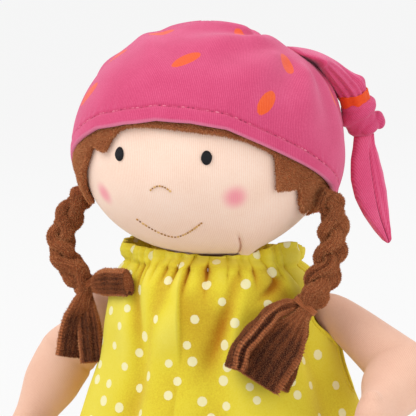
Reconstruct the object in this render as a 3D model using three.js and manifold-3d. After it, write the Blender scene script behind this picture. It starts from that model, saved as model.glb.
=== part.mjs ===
// A soft seated doll: stuffed head, body and limbs, plush hair with two braids,
// a jersey cap with a knotted tail, and a sleeveless dress gathered at the neck.
// Millimetres, +Z up, the face looks along -Y, and the origin lies under the seat.
import * as THREE from 'three';
import { mergeVertices } from 'three/addons/utils/BufferGeometryUtils.js';
import Module from 'manifold-3d';

const wasm = await Module();
wasm.setup();

const { Vector3 } = THREE;
const { degToRad, lerp, clamp } = THREE.MathUtils;
const fullTurn = 2 * Math.PI;
const quarterTurn = Math.PI / 2;
const up = new Vector3(0, 0, 1);

// Cloth, clearances and cuts
const gap = 0.3;
const jersey = 1.2;
const plush = 1.9;
const plushPressed = 0.6;
const cotton = 1.3;
const capCloth = 0.7;
const capEase = 1.3;
const crownTurn = degToRad(34);
const floorCut = 0.5;
const overrun = 20;

// Body
const bodyHeight = 106;
const bodyHalfWidth = 46;
const bodyHalfDepth = 32;
const bodyColumns = 24;

// Head, an oblate ball carried over the body
const headLift = 52;
const headHeight = bodyHeight + headLift;
const headRight = 4;
const headForward = 10;
const headHalfWidth = 57;
const headHalfDepth = 55;
const headTop = 53.4;
const headLow = 47;
const headColumns = 26;
const headRows = 12;

// Neck: a firm plug with a ball end through the openings of both skins
const neckOpening = 18;
const plugBall = 12;
const plugWaist = 9;
const plugFoot = 11.7;
const plugDrop = 2;
const plugHeight = bodyHeight - plugDrop;
const plugDepth = 13;
const plugRight = 2;
const plugForward = 5;

// Face, embroidered
const eyeTurn = degToRad(20);
const eyeRise = 3.3;
const eyeHalfWidth = 2.5;
const eyeHalfHeight = 3.1;
const threadHeight = 0.8;
const noseHalfTurn = degToRad(4.4);
const noseHeight = -13;
const noseArch = 2;
const mouthHalfTurn = degToRad(18.3);
const mouthHeight = -26.2;
const mouthDip = 7.5;
const threadRadius = 0.45;

// Cap and its gathered tail
const hemRoll = 4.5;
const hemOverlap = 3;
const capColumns = 36;
const capRows = 9;
const gatherHalfWidth = 24;
const gatherHalfThick = 8.5;
const gatherTurn = degToRad(105);
const gatherRise = 45;
const tailReach = 72;
const tailTurn = degToRad(118);
const tailRise = 23.5;
const tailNeck = 5.6;
const bandHeight = 5.4;
const bandCloth = 0.9;
const knotHalfWidth = 9.2;
const knotHeight = 15;
const knotLobe = 5;
const tailRoot = 4.2;
const tailRootSink = 1;
const tailLength = 50;
const tailHalfWidth = 8.2;
const tailHalfThick = 3.2;
const tailSweep = 12;

// Braids: three flat plush strips each
const braidTurns = 1.25;
const braidSwing = 5.8;
const braidWeave = 4.6;
const stripHalfWidth = 3.3;
const stripHalfThick = 1.9;
const stripSides = 6;
const braidSteps = 19;
const pinchRadius = 3.1;
const pinchHalf = 2;
const tieThread = 0.7;
const fanLength = 30;
const fanHalfWidth = 5;
const fanHalfThick = 1.4;
const fanSteps = 4;

// Dress
const dressColumns = 40;
const ruffleRise = 6.5;
const dressTop = bodyHeight + ruffleRise;
const dressHem = 2.5;
const neckNarrowing = 3;
const neckRoom = 6.5;
const skirtFlare = 28;
const skirtFlareDeep = 34;
const dressNeckHalfWidth = bodyHalfWidth - neckNarrowing;
const dressNeckHalfDepth = bodyHalfDepth + neckRoom;
const dressHemHalfWidth = bodyHalfWidth + skirtFlare;
const dressHemHalfDepth = bodyHalfDepth + skirtFlareDeep;
const dressFront = 33.5;
const ruffleTilt = 3;
const foldDepth = 4.5;
const armholeDrop = 5;
const armholeLength = 55;
const armholeTop = bodyHeight - armholeDrop;
const armholeLow = armholeTop - armholeLength;
const armholeHalfDepth = 14.5;
const elasticHalf = 1.6;
const elasticDrop = 1.5;
const elasticHeight = bodyHeight - elasticDrop;
const elasticRise = 2.2;

// Arms
const shoulderDrop = 19;
const shoulderHeight = bodyHeight - shoulderDrop;
const shoulderBack = 2;
const shoulderBall = 8.6;
const upperArmLength = 45;
const elbowBall = 11.2;
const elbowSeam = 6.3;
const forearmLength = 50;
const wristHalf = 9;
const handHalfWidth = 12;
const handHalfThick = 8;
const thumbLength = 11;
const thumbHalf = 4.4;
const limbSides = 12;

// Legs, stretched forwards on the floor
const hipSide = 22;
const hipBall = 14.5;
const thighLength = 56;
const kneeBall = 13;
const kneeSeam = 6.8;
const shinLength = 44;
const ankleHalf = 11.5;
const footHeight = 36;
const footHalfWidth = 13;
const footHalfLength = 12.5;

// Colours and finish
const skinTone = 0xf3cdb4;
const fillTone = 0xf4f1ea;
const hairTone = 0x7a4526;
const capTone = 0xdc4a86;
const bandTone = 0xf04a18;
const dressTone = 0xe4d31c;
const leggingTone = 0xb8305e;
const inkTone = 0x1b1b1d;
const stitchTone = 0xa97233;

const headAt = new Vector3(-headRight, -headForward, headHeight);
const plugAt = new Vector3(-plugRight, -plugForward, plugHeight);

// A closed body through rows of points: a row of one point is a pole, and without poles the last row joins
// the first
function bodyThrough(rows) {
  const isRing = rows[0].length > 1;
  const positions = rows.flat().flatMap((point) => [point.x, point.y, point.z]);
  const starts = [];
  let count = 0;
  for (const row of rows) {
    starts.push(count);
    count += row.length;
  }
  const index = [];
  const bands = isRing ? rows.length : rows.length - 1;
  for (let i = 0; i < bands; i++) {
    const next = (i + 1) % rows.length;
    const columns = Math.max(rows[i].length, rows[next].length);
    for (let k = 0; k < columns; k++) {
      const a = starts[i] + (k % rows[i].length);
      const b = starts[i] + ((k + 1) % rows[i].length);
      const c = starts[next] + (k % rows[next].length);
      const d = starts[next] + ((k + 1) % rows[next].length);
      if (a !== b) index.push(a, b, c);
      if (c !== d) index.push(b, d, c);
    }
  }
  const geometry = new THREE.BufferGeometry();
  geometry.setAttribute('position', new THREE.Float32BufferAttribute(positions, 3));
  geometry.setIndex(index);
  return faceOut(geometry);
}

// Turns every triangle round when the body's volume comes out negative
function faceOut(geometry) {
  const at = geometry.attributes.position;
  const index = geometry.index.array;
  const corners = [new Vector3(), new Vector3(), new Vector3()];
  let volume = 0;
  for (let i = 0; i < index.length; i += 3) {
    corners.forEach((corner, k) => corner.fromBufferAttribute(at, index[i + k]));
    volume += corners[0].dot(corners[1].clone().cross(corners[2]));
  }
  if (volume < 0) {
    for (let i = 0; i < index.length; i += 3) {
      [index[i], index[i + 1]] = [index[i + 1], index[i]];
    }
  }
  return geometry;
}

function toSolid(geometry) {
  const bare = geometry.clone();
  bare.deleteAttribute('normal');
  bare.deleteAttribute('uv');
  const merged = mergeVertices(bare);
  return new wasm.Manifold(new wasm.Mesh({
    numProp: 3,
    vertProperties: new Float32Array(merged.attributes.position.array),
    triVerts: new Uint32Array(merged.index.array),
  }));
}

function toGeometry(solid) {
  const mesh = solid.getMesh();
  const geometry = new THREE.BufferGeometry();
  geometry.setAttribute('position', new THREE.Float32BufferAttribute(mesh.vertProperties, 3));
  geometry.setIndex(new THREE.Uint32BufferAttribute(mesh.triVerts, 1));
  return geometry;
}

// The first body with the others cut away
function cut(geometry, ...tools) {
  let solid = toSolid(geometry);
  for (const tool of tools) solid = solid.subtract(toSolid(tool));
  return toGeometry(solid);
}

function join(...geometries) {
  return toGeometry(geometries.map(toSolid).reduce((all, one) => all.add(one)));
}

function ball(radius, at, sides = 20) {
  const geometry = new THREE.SphereGeometry(radius, sides, sides / 2);
  geometry.translate(at.x, at.y, at.z);
  return geometry;
}

// All that lies under the floor
const underFloor = new THREE.BoxGeometry(headHeight * 4, headHeight * 4, overrun);
underFloor.translate(0, 0, -overrun / 2);

// A copy of a body turned about a hinge
function turned(geometry, pivot, axis, angle) {
  const copy = geometry.clone();
  copy.translate(-pivot.x, -pivot.y, -pivot.z);
  copy.applyMatrix4(new THREE.Matrix4().makeRotationAxis(axis, angle));
  copy.translate(pivot.x, pivot.y, pivot.z);
  return copy;
}

// An oval ring of points: centre, the two half axes as vectors, and how many points
function oval(centre, across, deep, sides) {
  const ring = [];
  for (let k = 0; k < sides; k++) {
    const angle = (fullTurn * k) / sides;
    const point = centre.clone().addScaledVector(across, Math.cos(angle));
    ring.push(point.addScaledVector(deep, Math.sin(angle)));
  }
  return ring;
}

// A stuffed tube along a straight line: stations are [place, half width, half thickness], both ends round
function stuffedTube(from, direction, wideSide, stations, sides) {
  const wide = wideSide.clone().addScaledVector(direction, -wideSide.dot(direction)).normalize();
  const deep = direction.clone().cross(wide);
  const rowAt = ([place, halfWide, halfDeep]) => oval(
    from.clone().addScaledVector(direction, place),
    wide.clone().multiplyScalar(halfWide),
    deep.clone().multiplyScalar(halfDeep),
    sides,
  );
  const capTurns = [68, 45, 22].map(degToRad);
  const roundEnd = ([place, halfWide, halfDeep], sense) => capTurns.map((angle) => [
    place + sense * Math.min(halfWide, halfDeep) * Math.sin(angle),
    halfWide * Math.cos(angle),
    halfDeep * Math.cos(angle),
  ]);
  const first = stations[0];
  const last = stations[stations.length - 1];
  const startPole = from.clone().addScaledVector(direction, first[0] - Math.min(first[1], first[2]));
  const endPole = from.clone().addScaledVector(direction, last[0] + Math.min(last[1], last[2]));
  const rows = [
    ...roundEnd(first, -1).map(rowAt),
    ...stations.map(rowAt),
    ...roundEnd(last, 1).reverse().map(rowAt),
  ];
  return bodyThrough([[startPole], ...rows, [endPole]]);
}

// A tube along a curve: stations are [share of the curve, half width, half thickness], the far end round
function sweptTube(curve, wideSide, stations, sides) {
  const rowAt = (centre, tangent, halfWide, halfDeep) => {
    const wide = wideSide.clone().addScaledVector(tangent, -wideSide.dot(tangent)).normalize();
    const deep = tangent.clone().cross(wide);
    return oval(centre, wide.multiplyScalar(halfWide), deep.multiplyScalar(halfDeep), sides);
  };
  const rows = stations.map(([share, halfWide, halfDeep]) => (
    rowAt(curve.getPointAt(share), curve.getTangentAt(share), halfWide, halfDeep)));
  const [, endWide, endDeep] = stations[stations.length - 1];
  const radius = Math.min(endWide, endDeep);
  const way = curve.getTangentAt(1);
  const end = curve.getPointAt(1);
  for (const angle of [22, 45, 68].map(degToRad)) {
    const centre = end.clone().addScaledVector(way, radius * Math.sin(angle));
    rows.push(rowAt(centre, way, endWide * Math.cos(angle), endDeep * Math.cos(angle)));
  }
  return bodyThrough([[curve.getPointAt(0)], ...rows, [end.clone().addScaledVector(way, radius)]]);
}

// A point over the head: turn from the face towards the doll's left, polar angle from the crown, and height
// off the skin
function overHead(azimuth, polar, off) {
  const rise = Math.cos(polar);
  const reach = Math.sin(polar);
  const half = (rise > 0 ? headTop : headLow) + off;
  return new Vector3(
    headAt.x + (headHalfWidth + off) * reach * Math.sin(azimuth),
    headAt.y - (headHalfDepth + off) * reach * Math.cos(azimuth),
    headAt.z + half * rise,
  );
}

// The polar angle at which a surface off the skin reaches a height over the head's middle
function polarAt(height, off) {
  const half = (height > 0 ? headTop : headLow) + off;
  return Math.acos(clamp(height / half, -1, 1));
}

function evenTurns(columns) {
  return Array.from({ length: columns }, (_, k) => (fullTurn * k) / columns);
}

const headTurns = evenTurns(headColumns);
const neckPolar = Math.PI - Math.asin(neckOpening / headHalfWidth);
// What the flats of a faceted ball lie under its round surface
const headFlat = headHalfWidth * (1 - Math.cos(Math.PI / headRows / 2));

// Rows over the head between two polar angles
function headRowsAt(from, to, off, rows) {
  const list = [];
  for (let i = 0; i <= rows; i++) {
    const polar = lerp(from, to, i / rows);
    list.push(headTurns.map((azimuth) => overHead(azimuth, polar, off)));
  }
  return list;
}

function headBall(off) {
  const step = Math.PI / headRows;
  return bodyThrough([
    [overHead(0, 0, off)],
    ...headRowsAt(step, Math.PI - step, off, headRows - 2),
    [overHead(0, Math.PI, off)],
  ]);
}

// Jersey skin of the head, open at the neck
function headSkin() {
  const step = neckPolar / headRows;
  const outer = headRowsAt(step, neckPolar, 0, headRows - 1);
  const inner = headRowsAt(step, neckPolar, -jersey, headRows - 1);
  return bodyThrough([[overHead(0, 0, 0)], ...outer, ...inner.reverse(), [overHead(0, 0, -jersey)]]);
}

// Stuffing of the head, hollowed for the ball of the neck plug
function headFilling() {
  const step = neckPolar / headRows;
  const off = -jersey - gap;
  const rows = headRowsAt(step, neckPolar, off, headRows - 1);
  const filling = bodyThrough([[overHead(0, 0, off)], ...rows, [overHead(0, Math.PI, off)]]);
  return cut(filling, ball(plugBall + gap * 2, plugAt, 24));
}

// Firm plug of the neck: a ball end in the head, a waist and a foot in the body
function neckPlug() {
  const profile = [new THREE.Vector2(0, -plugDepth), new THREE.Vector2(plugFoot, -plugDepth)];
  profile.push(new THREE.Vector2(plugFoot, -plugDepth + (plugFoot - plugWaist) * 2));
  const lowest = Math.asin(plugWaist / plugBall);
  const steps = 8;
  for (let i = 0; i <= steps; i++) {
    const polar = lerp(Math.PI - lowest, 0, i / steps);
    profile.push(new THREE.Vector2(plugBall * Math.sin(polar), plugBall * Math.cos(polar)));
  }
  profile[profile.length - 1].x = 0;
  const geometry = new THREE.LatheGeometry(profile, 20);
  geometry.rotateX(quarterTurn);
  geometry.translate(plugAt.x, plugAt.y, plugAt.z);
  return geometry;
}

// The hair's lower edge: shares of a half turn, and heights as shares of the head's half width
const hairEdgeShares = [
  [-1, -0.57], [-0.917, -0.57], [-0.833, -0.57], [-0.75, -0.555], [-0.667, -0.52], [-0.6, -0.48],
  [-0.53, -0.44], [-0.47, -0.42], [-0.41, -0.38], [-0.355, -0.42], [-0.31, -0.31], [-0.262, -0.17],
  [-0.225, -0.036], [-0.198, 0.083], [-0.172, 0.055], [-0.148, 0.045], [-0.133, 0.14], [-0.111, 0.22],
  [-0.073, 0.255], [-0.03, 0.262], [0.015, 0.26], [0.078, 0.24], [0.153, 0.213], [0.2, 0.175],
  [0.247, 0.124], [0.27, 0.09], [0.289, 0.045], [0.292, -0.075], [0.299, -0.212], [0.33, -0.21],
  [0.367, -0.204], [0.388, -0.325], [0.427, -0.432], [0.46, -0.385], [0.53, -0.42], [0.6, -0.47],
  [0.667, -0.52], [0.75, -0.555], [0.833, -0.57], [0.917, -0.57],
];
const hairUnder = gap + headFlat + headHalfWidth * (1 - Math.cos(degToRad(8)));
const hairOver = hairUnder + plush;
const hairPressed = hairUnder + plushPressed;

// The cap's hem: heights as shares of the head's half width, at equal steps from the face to the back
const hemShares = [
  0.325, 0.293, 0.227, 0.087, -0.055, -0.19, -0.323, -0.42, -0.49, -0.53, -0.56, -0.575, -0.58,
];

function hemHeight(azimuth) {
  const place = (Math.abs(Math.atan2(Math.sin(azimuth), Math.cos(azimuth))) / Math.PI) * (hemShares.length - 1);
  const low = Math.min(Math.floor(place), hemShares.length - 2);
  const share = lerp(hemShares[low], hemShares[low + 1], place - low);
  return share * headHalfWidth + hemRoll * Math.sin(azimuth);
}

const capFlat = headHalfWidth * (1 - Math.cos(degToRad(9)));

// How far the cap's lining stands off the head's skin: close on the crown and easing towards the hem, so that
// the cap slides off over the hair
function capUnderAt(polar) {
  const eased = THREE.MathUtils.smoothstep(polar, crownTurn, crownTurn * 1.6);
  return capFlat + lerp(hairPressed + gap, hairOver + capEase, eased);
}

function capPoint(azimuth, polar, off) {
  return overHead(azimuth, polar, capUnderAt(polar) + off);
}

// Plush hair, sewn over the head and cut in points beside the face: its pile stands below the hem and lies
// pressed under the cap, so that the cap can be pulled off over it
function hairPiece() {
  const edge = hairEdgeShares.map(([turnShare, heightShare]) => {
    const azimuth = turnShare * Math.PI;
    const hem = polarAt(hemHeight(azimuth), hairOver);
    return { azimuth, hem, last: polarAt(heightShare * headHalfWidth, hairOver) };
  });
  const pressedRows = 8;
  const rowAt = (polarOf, off) => edge.map((column) => overHead(column.azimuth, polarOf(column), off));
  const pressed = (i) => ({ hem }) => (hem - hemOverlap / headHalfWidth) * (i / pressedRows);
  const standing = (share) => ({ hem, last }) => lerp(hem, last, share);
  const outer = [];
  const inner = [];
  for (let i = 1; i <= pressedRows; i++) {
    outer.push(rowAt(pressed(i), hairPressed));
    inner.push(rowAt(pressed(i), hairUnder));
  }
  for (const share of [0, 0.5, 1]) {
    outer.push(rowAt(standing(share), hairOver));
    inner.push(rowAt(standing(share), hairUnder));
  }
  return bodyThrough([[overHead(0, 0, hairPressed)], ...outer, ...inner.reverse(), [overHead(0, 0, hairUnder)]]);
}

// Crown of the cap
function capCrown() {
  const turns = evenTurns(capColumns);
  const hems = turns.map((azimuth) => polarAt(hemHeight(azimuth), hairOver + capEase));
  const rowAt = (share, off) => turns.map((azimuth, k) => capPoint(azimuth, share * hems[k], off));
  const shares = Array.from({ length: capRows }, (_, i) => (i + 1) / capRows);
  return bodyThrough([
    [capPoint(0, 0, capCloth)],
    ...shares.map((share) => rowAt(share, capCloth)),
    ...shares.map((share) => rowAt(share, 0)).reverse(),
    [capPoint(0, 0, 0)],
  ]);
}

// All that lies within the cap and a clearance round it
function withinCap() {
  const step = Math.PI / headRows;
  const off = capCloth + gap * 3 + headFlat;
  const rows = [];
  for (let polar = step; polar < Math.PI - step / 2; polar += step) {
    rows.push(headTurns.map((azimuth) => capPoint(azimuth, polar, off)));
  }
  return bodyThrough([[capPoint(0, 0, off)], ...rows, [capPoint(0, Math.PI, off)]]);
}

// Where the tail hangs from the gathered crown
const tailAt = new Vector3(
  headAt.x + tailReach * Math.sin(tailTurn),
  headAt.y - tailReach * Math.cos(tailTurn),
  headAt.z + tailRise,
);

// The way the tail leaves its ribbon, and the level way across it
const tailDown = new Vector3(Math.sin(tailTurn) * 0.3, -Math.cos(tailTurn) * 0.3, -1).normalize();
const tailWide = new Vector3(Math.cos(tailTurn), Math.sin(tailTurn), 0);

// The crown's cloth drawn together into the tail, lying on the crown
function capGather() {
  const root = capPoint(gatherTurn, polarAt(gatherRise, hairOver), capCloth);
  const outward = new Vector3(Math.sin(tailTurn), -Math.cos(tailTurn), 0);
  const wide = outward.clone().cross(up);
  const neckTop = tailAt.clone().addScaledVector(tailDown, -tailNeck * 1.6);
  const middle = root.clone().lerp(neckTop, 0.6).addScaledVector(outward, gatherHalfThick * 0.25);
  const curve = new THREE.CatmullRomCurve3([root, middle, neckTop, tailAt], false, 'centripetal');
  const stations = [
    [0, gatherHalfWidth * 0.55, gatherHalfThick * 0.5], [0.12, gatherHalfWidth * 0.85, gatherHalfThick * 0.9],
    [0.3, gatherHalfWidth, gatherHalfThick], [0.55, lerp(gatherHalfWidth, tailNeck, 0.5), gatherHalfThick],
    [0.76, tailNeck, tailNeck], [1, tailNeck, tailNeck],
  ];
  return cut(sweptTube(curve, wide, stations, 16), withinCap());
}

// Orange ribbon round the neck of the tail
function tailBand() {
  const inner = tailNeck + gap * 2;
  const deep = tailDown.clone().cross(tailWide).normalize();
  const ringAt = (place, radius) => oval(
    tailAt.clone().addScaledVector(tailDown, place),
    tailWide.clone().multiplyScalar(radius),
    deep.clone().multiplyScalar(radius),
    20,
  );
  const half = bandHeight / 2;
  return bodyThrough([
    ringAt(-half, inner), ringAt(-half, inner + bandCloth), ringAt(0, inner + bandCloth * 1.4),
    ringAt(half, inner + bandCloth), ringAt(half, inner), ringAt(0, inner),
  ]);
}

const knotTop = bandHeight / 2 + gap;
// The loose end swings on its rounded root, sunk in the underside of the knot
const tailRootAt = tailAt.clone().addScaledVector(tailDown, knotTop + knotHeight - tailRootSink);

// All that lies beyond a place on the tail, above it or below it
function slabAcross(place, sense) {
  const slab = new THREE.CylinderGeometry(knotHalfWidth * 2, knotHalfWidth * 2, overrun, 12);
  slab.applyQuaternion(new THREE.Quaternion().setFromUnitVectors(new Vector3(0, 1, 0), tailDown));
  const centre = tailAt.clone().addScaledVector(tailDown, place + (sense * overrun) / 2);
  slab.translate(centre.x, centre.y, centre.z);
  return slab;
}

// The knot, a lump of three turns with one loop standing out
function tailKnot() {
  const stations = [
    [knotTop + knotHeight * 0.34, knotHalfWidth * 0.8, knotHalfWidth * 0.75],
    [knotTop + knotHeight * 0.45, knotHalfWidth, knotHalfWidth * 0.88],
    [knotTop + knotHeight * 0.55, knotHalfWidth * 0.9, knotHalfWidth * 0.82],
    [knotTop + knotHeight * 0.68, knotHalfWidth * 0.85, knotHalfWidth * 0.75],
  ];
  const lump = stuffedTube(tailAt, tailDown, tailWide, stations, 16);
  const outward = new Vector3(Math.sin(tailTurn), -Math.cos(tailTurn), 0);
  const loopAt = tailAt.clone().addScaledVector(tailDown, knotTop + knotHeight * 0.5);
  loopAt.addScaledVector(outward, knotHalfWidth * 0.8);
  const shape = join(lump, ball(knotLobe, loopAt, 12));
  const ends = [slabAcross(knotTop, -1), slabAcross(knotTop + knotHeight, 1)];
  return cut(shape, ball(tailNeck + gap * 2, tailAt), ball(tailRoot + gap * 2, tailRootAt), ...ends);
}

// The flat end of the tail under the knot, swelling and running to a tip
function tailEnd() {
  const shares = [
    [0, 0.4, 0.85], [0.15, 0.58, 0.95], [0.38, 0.95, 1], [0.55, 1, 1], [0.72, 0.8, 0.9], [0.88, 0.5, 0.75],
    [0.97, 0.25, 0.5],
  ];
  const outward = new Vector3(Math.sin(tailTurn), -Math.cos(tailTurn), 0);
  const wide = outward.clone().multiplyScalar(0.8).addScaledVector(tailWide, -0.6);
  const deep = wide.clone().cross(up);
  const centreAt = (share) => tailRootAt.clone()
    .addScaledVector(up, -tailLength * share)
    .addScaledVector(outward, tailSweep * share * share);
  const rows = shares.map(([share, wideShare, thickShare]) => oval(
    centreAt(share),
    wide.clone().multiplyScalar(tailHalfWidth * wideShare),
    deep.clone().multiplyScalar(tailHalfThick * thickShare),
    12,
  ));
  return join(bodyThrough([[centreAt(0)], ...rows, [centreAt(1)]]), ball(tailRoot, tailRootAt, 12));
}

// A flat dome of thread on the face
function eye(side) {
  const middle = polarAt(eyeRise, 0);
  const sides = 14;
  const ringAt = (share, off) => Array.from({ length: sides }, (_, k) => {
    const angle = (fullTurn * k) / sides;
    const azimuth = side * eyeTurn + (share * eyeHalfWidth * Math.cos(angle)) / headHalfWidth;
    const polar = middle - (share * eyeHalfHeight * Math.sin(angle)) / headTop;
    return overHead(azimuth, polar, off);
  });
  const seat = gap;
  return bodyThrough([
    [overHead(side * eyeTurn, middle, seat + threadHeight)],
    ringAt(0.6, seat + threadHeight * 0.9),
    ringAt(1, seat + threadHeight * 0.4),
    ringAt(1, seat),
    [overHead(side * eyeTurn, middle, seat)],
  ]);
}

// A line of stitches on the face through places given as turn and height
function stitchLine(places) {
  const off = gap + threadRadius;
  const points = places.map(([azimuth, height]) => overHead(azimuth, polarAt(height, off), off));
  const curve = new THREE.CatmullRomCurve3(points);
  const steps = points.length * 2;
  const sides = 6;
  const rows = [];
  for (let i = 0; i <= steps; i++) {
    const share = i / steps;
    const centre = curve.getPoint(share);
    const out = centre.clone().sub(headAt).normalize();
    const across = curve.getTangent(share).cross(out).normalize();
    rows.push(oval(centre, across.multiplyScalar(threadRadius), out.multiplyScalar(threadRadius), sides));
  }
  return bodyThrough([[curve.getPoint(0)], ...rows, [curve.getPoint(1)]]);
}

function nose() {
  const shares = [-1, -0.6, 0, 0.6, 1];
  return stitchLine(shares.map((share) => [noseHalfTurn * share, noseHeight + noseArch * (1 - share * share)]));
}

function mouth() {
  const shares = [-1, -0.75, -0.5, -0.25, 0, 0.25, 0.5, 0.75, 1];
  return stitchLine(shares.map((share) => (
    [mouthHalfTurn * share, mouthHeight - mouthDip * (1 - Math.abs(share) ** 1.8)])));
}

// The body's height, half width and half depth, as shares of its full sizes, from the seat to the neck
const bodyShares = [
  [0, 0.72, 0.64], [0.03, 0.86, 0.82], [0.1, 0.95, 0.93], [0.22, 1, 1], [0.38, 0.98, 1], [0.55, 0.94, 0.97],
  [0.7, 0.915, 0.94], [0.82, 0.905, 0.92], [0.9, 0.89, 0.88], [0.95, 0.85, 0.82], [0.98, 0.76, 0.72],
];

// A table's row of shares at a height between two of its own
function sizesAt(table, heightShare) {
  const rows = [...table].sort((a, b) => a[0] - b[0]);
  const reached = rows.findIndex(([share]) => share >= heightShare);
  const next = reached < 0 ? rows.length - 1 : Math.max(reached, 1);
  const [below, above] = [rows[next - 1], rows[next]];
  const mix = clamp((heightShare - below[0]) / (above[0] - below[0]), 0, 1);
  return below.map((value, k) => lerp(value, above[k], mix));
}

function bodyRow([heightShare, wideShare, deepShare], wall) {
  return oval(
    new Vector3(0, 0, heightShare * bodyHeight),
    new Vector3(bodyHalfWidth * wideShare - wall, 0, 0),
    new Vector3(0, bodyHalfDepth * deepShare - wall, 0),
    bodyColumns,
  );
}

function lowered(row, drop) {
  return row.map((point) => point.clone().addScaledVector(up, -drop));
}

// Rows of the body from the seat to the neck, a wall's thickness inside the skin
function bodyRows(wall) {
  const rows = bodyShares.map((shares) => bodyRow(shares, wall));
  return rows.map((row, i) => {
    const share = i / (rows.length - 1);
    return lowered(row, lerp(-wall, wall, share));
  });
}

// Jersey skin of the body, open at the neck
function bodySkin() {
  const neckRing = (radius, height) => oval(
    new Vector3(0, 0, height),
    new Vector3(radius, 0, 0),
    new Vector3(0, radius, 0),
    bodyColumns,
  );
  return bodyThrough([
    [new Vector3(0, 0, 0)],
    ...bodyRows(0),
    neckRing(neckOpening, bodyHeight),
    neckRing(neckOpening, bodyHeight - jersey),
    ...bodyRows(jersey).reverse(),
    [new Vector3(0, 0, jersey)],
  ]);
}

// Stuffing of the body, hollowed round the neck plug
function bodyFilling() {
  const wall = jersey + gap;
  const rows = bodyRows(wall);
  const top = bodyHeight - wall;
  const filling = bodyThrough([[new Vector3(0, 0, wall)], ...rows, [new Vector3(0, 0, top)]]);
  const socket = new THREE.CylinderGeometry(plugBall + gap * 2, plugBall + gap * 2, plugDepth + overrun, 20);
  socket.rotateX(quarterTurn);
  socket.translate(plugAt.x, plugAt.y, plugAt.z - plugDepth - gap + (plugDepth + overrun) / 2);
  return cut(filling, socket);
}

// The dress from the ruffle to the hem: height, half width, half depth and fold, as shares of the full sizes
const dressShares = [
  [1, 0.585, 0.585, 0.34], [0.964, 0.58, 0.575, 0.25], [0.929, 0.548, 0.543, 0.14], [0.9, 0.575, 0.57, 0.2],
  [0.85, 0.605, 0.605, 0.28], [0.75, 0.64, 0.64, 0.4], [0.6, 0.71, 0.71, 0.6], [0.42, 0.82, 0.82, 0.8],
  [0.27, 0.9, 0.9, 0.95], [0, 1, 1, 1],
];

// Main folds round the dress: a few deep ones with gathers between
function foldWave(azimuth, gathers) {
  return 0.62 * Math.cos(7 * azimuth + 0.9) + 0.38 * gathers * Math.cos(12 * azimuth);
}

// Over the thighs the hem rises to let the legs out
function hemOfDress(azimuth) {
  const facing = Math.cos(azimuth);
  return lerp(dressHem, dressFront, clamp((facing - 0.2) / 0.35, 0, 1));
}

function dressPoint(azimuth, rowShare, wall) {
  const top = dressTop - ruffleTilt * Math.cos(azimuth);
  const height = lerp(top, hemOfDress(azimuth), rowShare);
  const [, wide, deep, fold] = sizesAt(dressShares, height / dressTop);
  const swell = foldDepth * fold * foldWave(azimuth, 1 - rowShare / 2) - wall;
  return new Vector3(
    (dressHemHalfWidth * wide + swell) * Math.sin(azimuth),
    -(dressHemHalfDepth * deep + swell) * Math.cos(azimuth),
    height,
  );
}

const dressRowShares = [0, 0.035, 0.075, 0.12, 0.19, 0.3, 0.43, 0.6, 0.8, 1];

// An armhole slit, rounded above and drawn to a point below
function armhole(side) {
  const middle = lerp(armholeLow, armholeTop, 0.66);
  const [front, back] = [armholeHalfDepth - shoulderBack, -armholeHalfDepth - shoulderBack];
  const narrowing = armholeHalfDepth * 0.1;
  const shape = new THREE.Shape();
  shape.moveTo(-shoulderBack, armholeLow);
  shape.quadraticCurveTo(front - narrowing, armholeLow, front, middle);
  shape.quadraticCurveTo(front, armholeTop, -shoulderBack, armholeTop);
  shape.quadraticCurveTo(back, armholeTop, back, middle);
  shape.quadraticCurveTo(back + narrowing, armholeLow, -shoulderBack, armholeLow);
  const outline = shape.getPoints(4).slice(1);
  const ringAt = (out) => outline.map((point) => new Vector3(side * out, -point.x, point.y));
  const [near, far] = [bodyHalfWidth / 2, dressHemHalfWidth + overrun];
  return bodyThrough([
    [new Vector3(side * near, 0, middle)], ringAt(near), ringAt(far), [new Vector3(side * far, 0, middle)],
  ]);
}

// Cotton dress, open at the neck, the armholes and the hem
function dress() {
  const turns = evenTurns(dressColumns);
  const outer = dressRowShares.map((share) => turns.map((azimuth) => dressPoint(azimuth, share, 0)));
  const inner = dressRowShares.map((share) => turns.map((azimuth) => dressPoint(azimuth, share, cotton)));
  return cut(bodyThrough([...outer, ...inner.reverse()]), armhole(1), armhole(-1));
}

// Elastic inside the gathered neckline
function neckElastic() {
  const turns = evenTurns(dressColumns);
  const [, wide, deep] = sizesAt(dressShares, elasticHeight / dressTop);
  const off = cotton + gap + foldDepth * 0.2;
  const ringAt = (height, wall) => turns.map((azimuth) => new Vector3(
    (dressHemHalfWidth * wide - off - wall) * Math.sin(azimuth),
    -(dressHemHalfDepth * deep - off - wall) * Math.cos(azimuth),
    height + (ruffleTilt / 2) * -Math.cos(azimuth),
  ));
  const [low, high] = [elasticHeight - elasticRise / 2, elasticHeight + elasticRise / 2];
  return bodyThrough([ringAt(high, 0), ringAt(low, 0), ringAt(low, elasticHalf), ringAt(high, elasticHalf)]);
}

// Each braid from under the hem to its tie, from the head's middle, as shares of the head's half width
const braidRouteShares = {
  left: [
    [1.092, -0.188, -0.245], [1.112, -0.169, -0.391], [1.119, -0.166, -0.548], [1.103, -0.173, -0.698],
    [1.056, -0.194, -0.871], [0.953, -0.246, -0.997], [0.829, -0.314, -1.091],
  ],
  right: [
    [-1.117, 0.026, -0.4], [-1.13, -0.058, -0.5], [-1.192, -0.092, -0.646], [-1.23, -0.108, -0.803],
    [-1.14, -0.143, -0.951], [-0.991, -0.138, -1.061], [-0.895, -0.115, -1.129],
  ],
};

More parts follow.
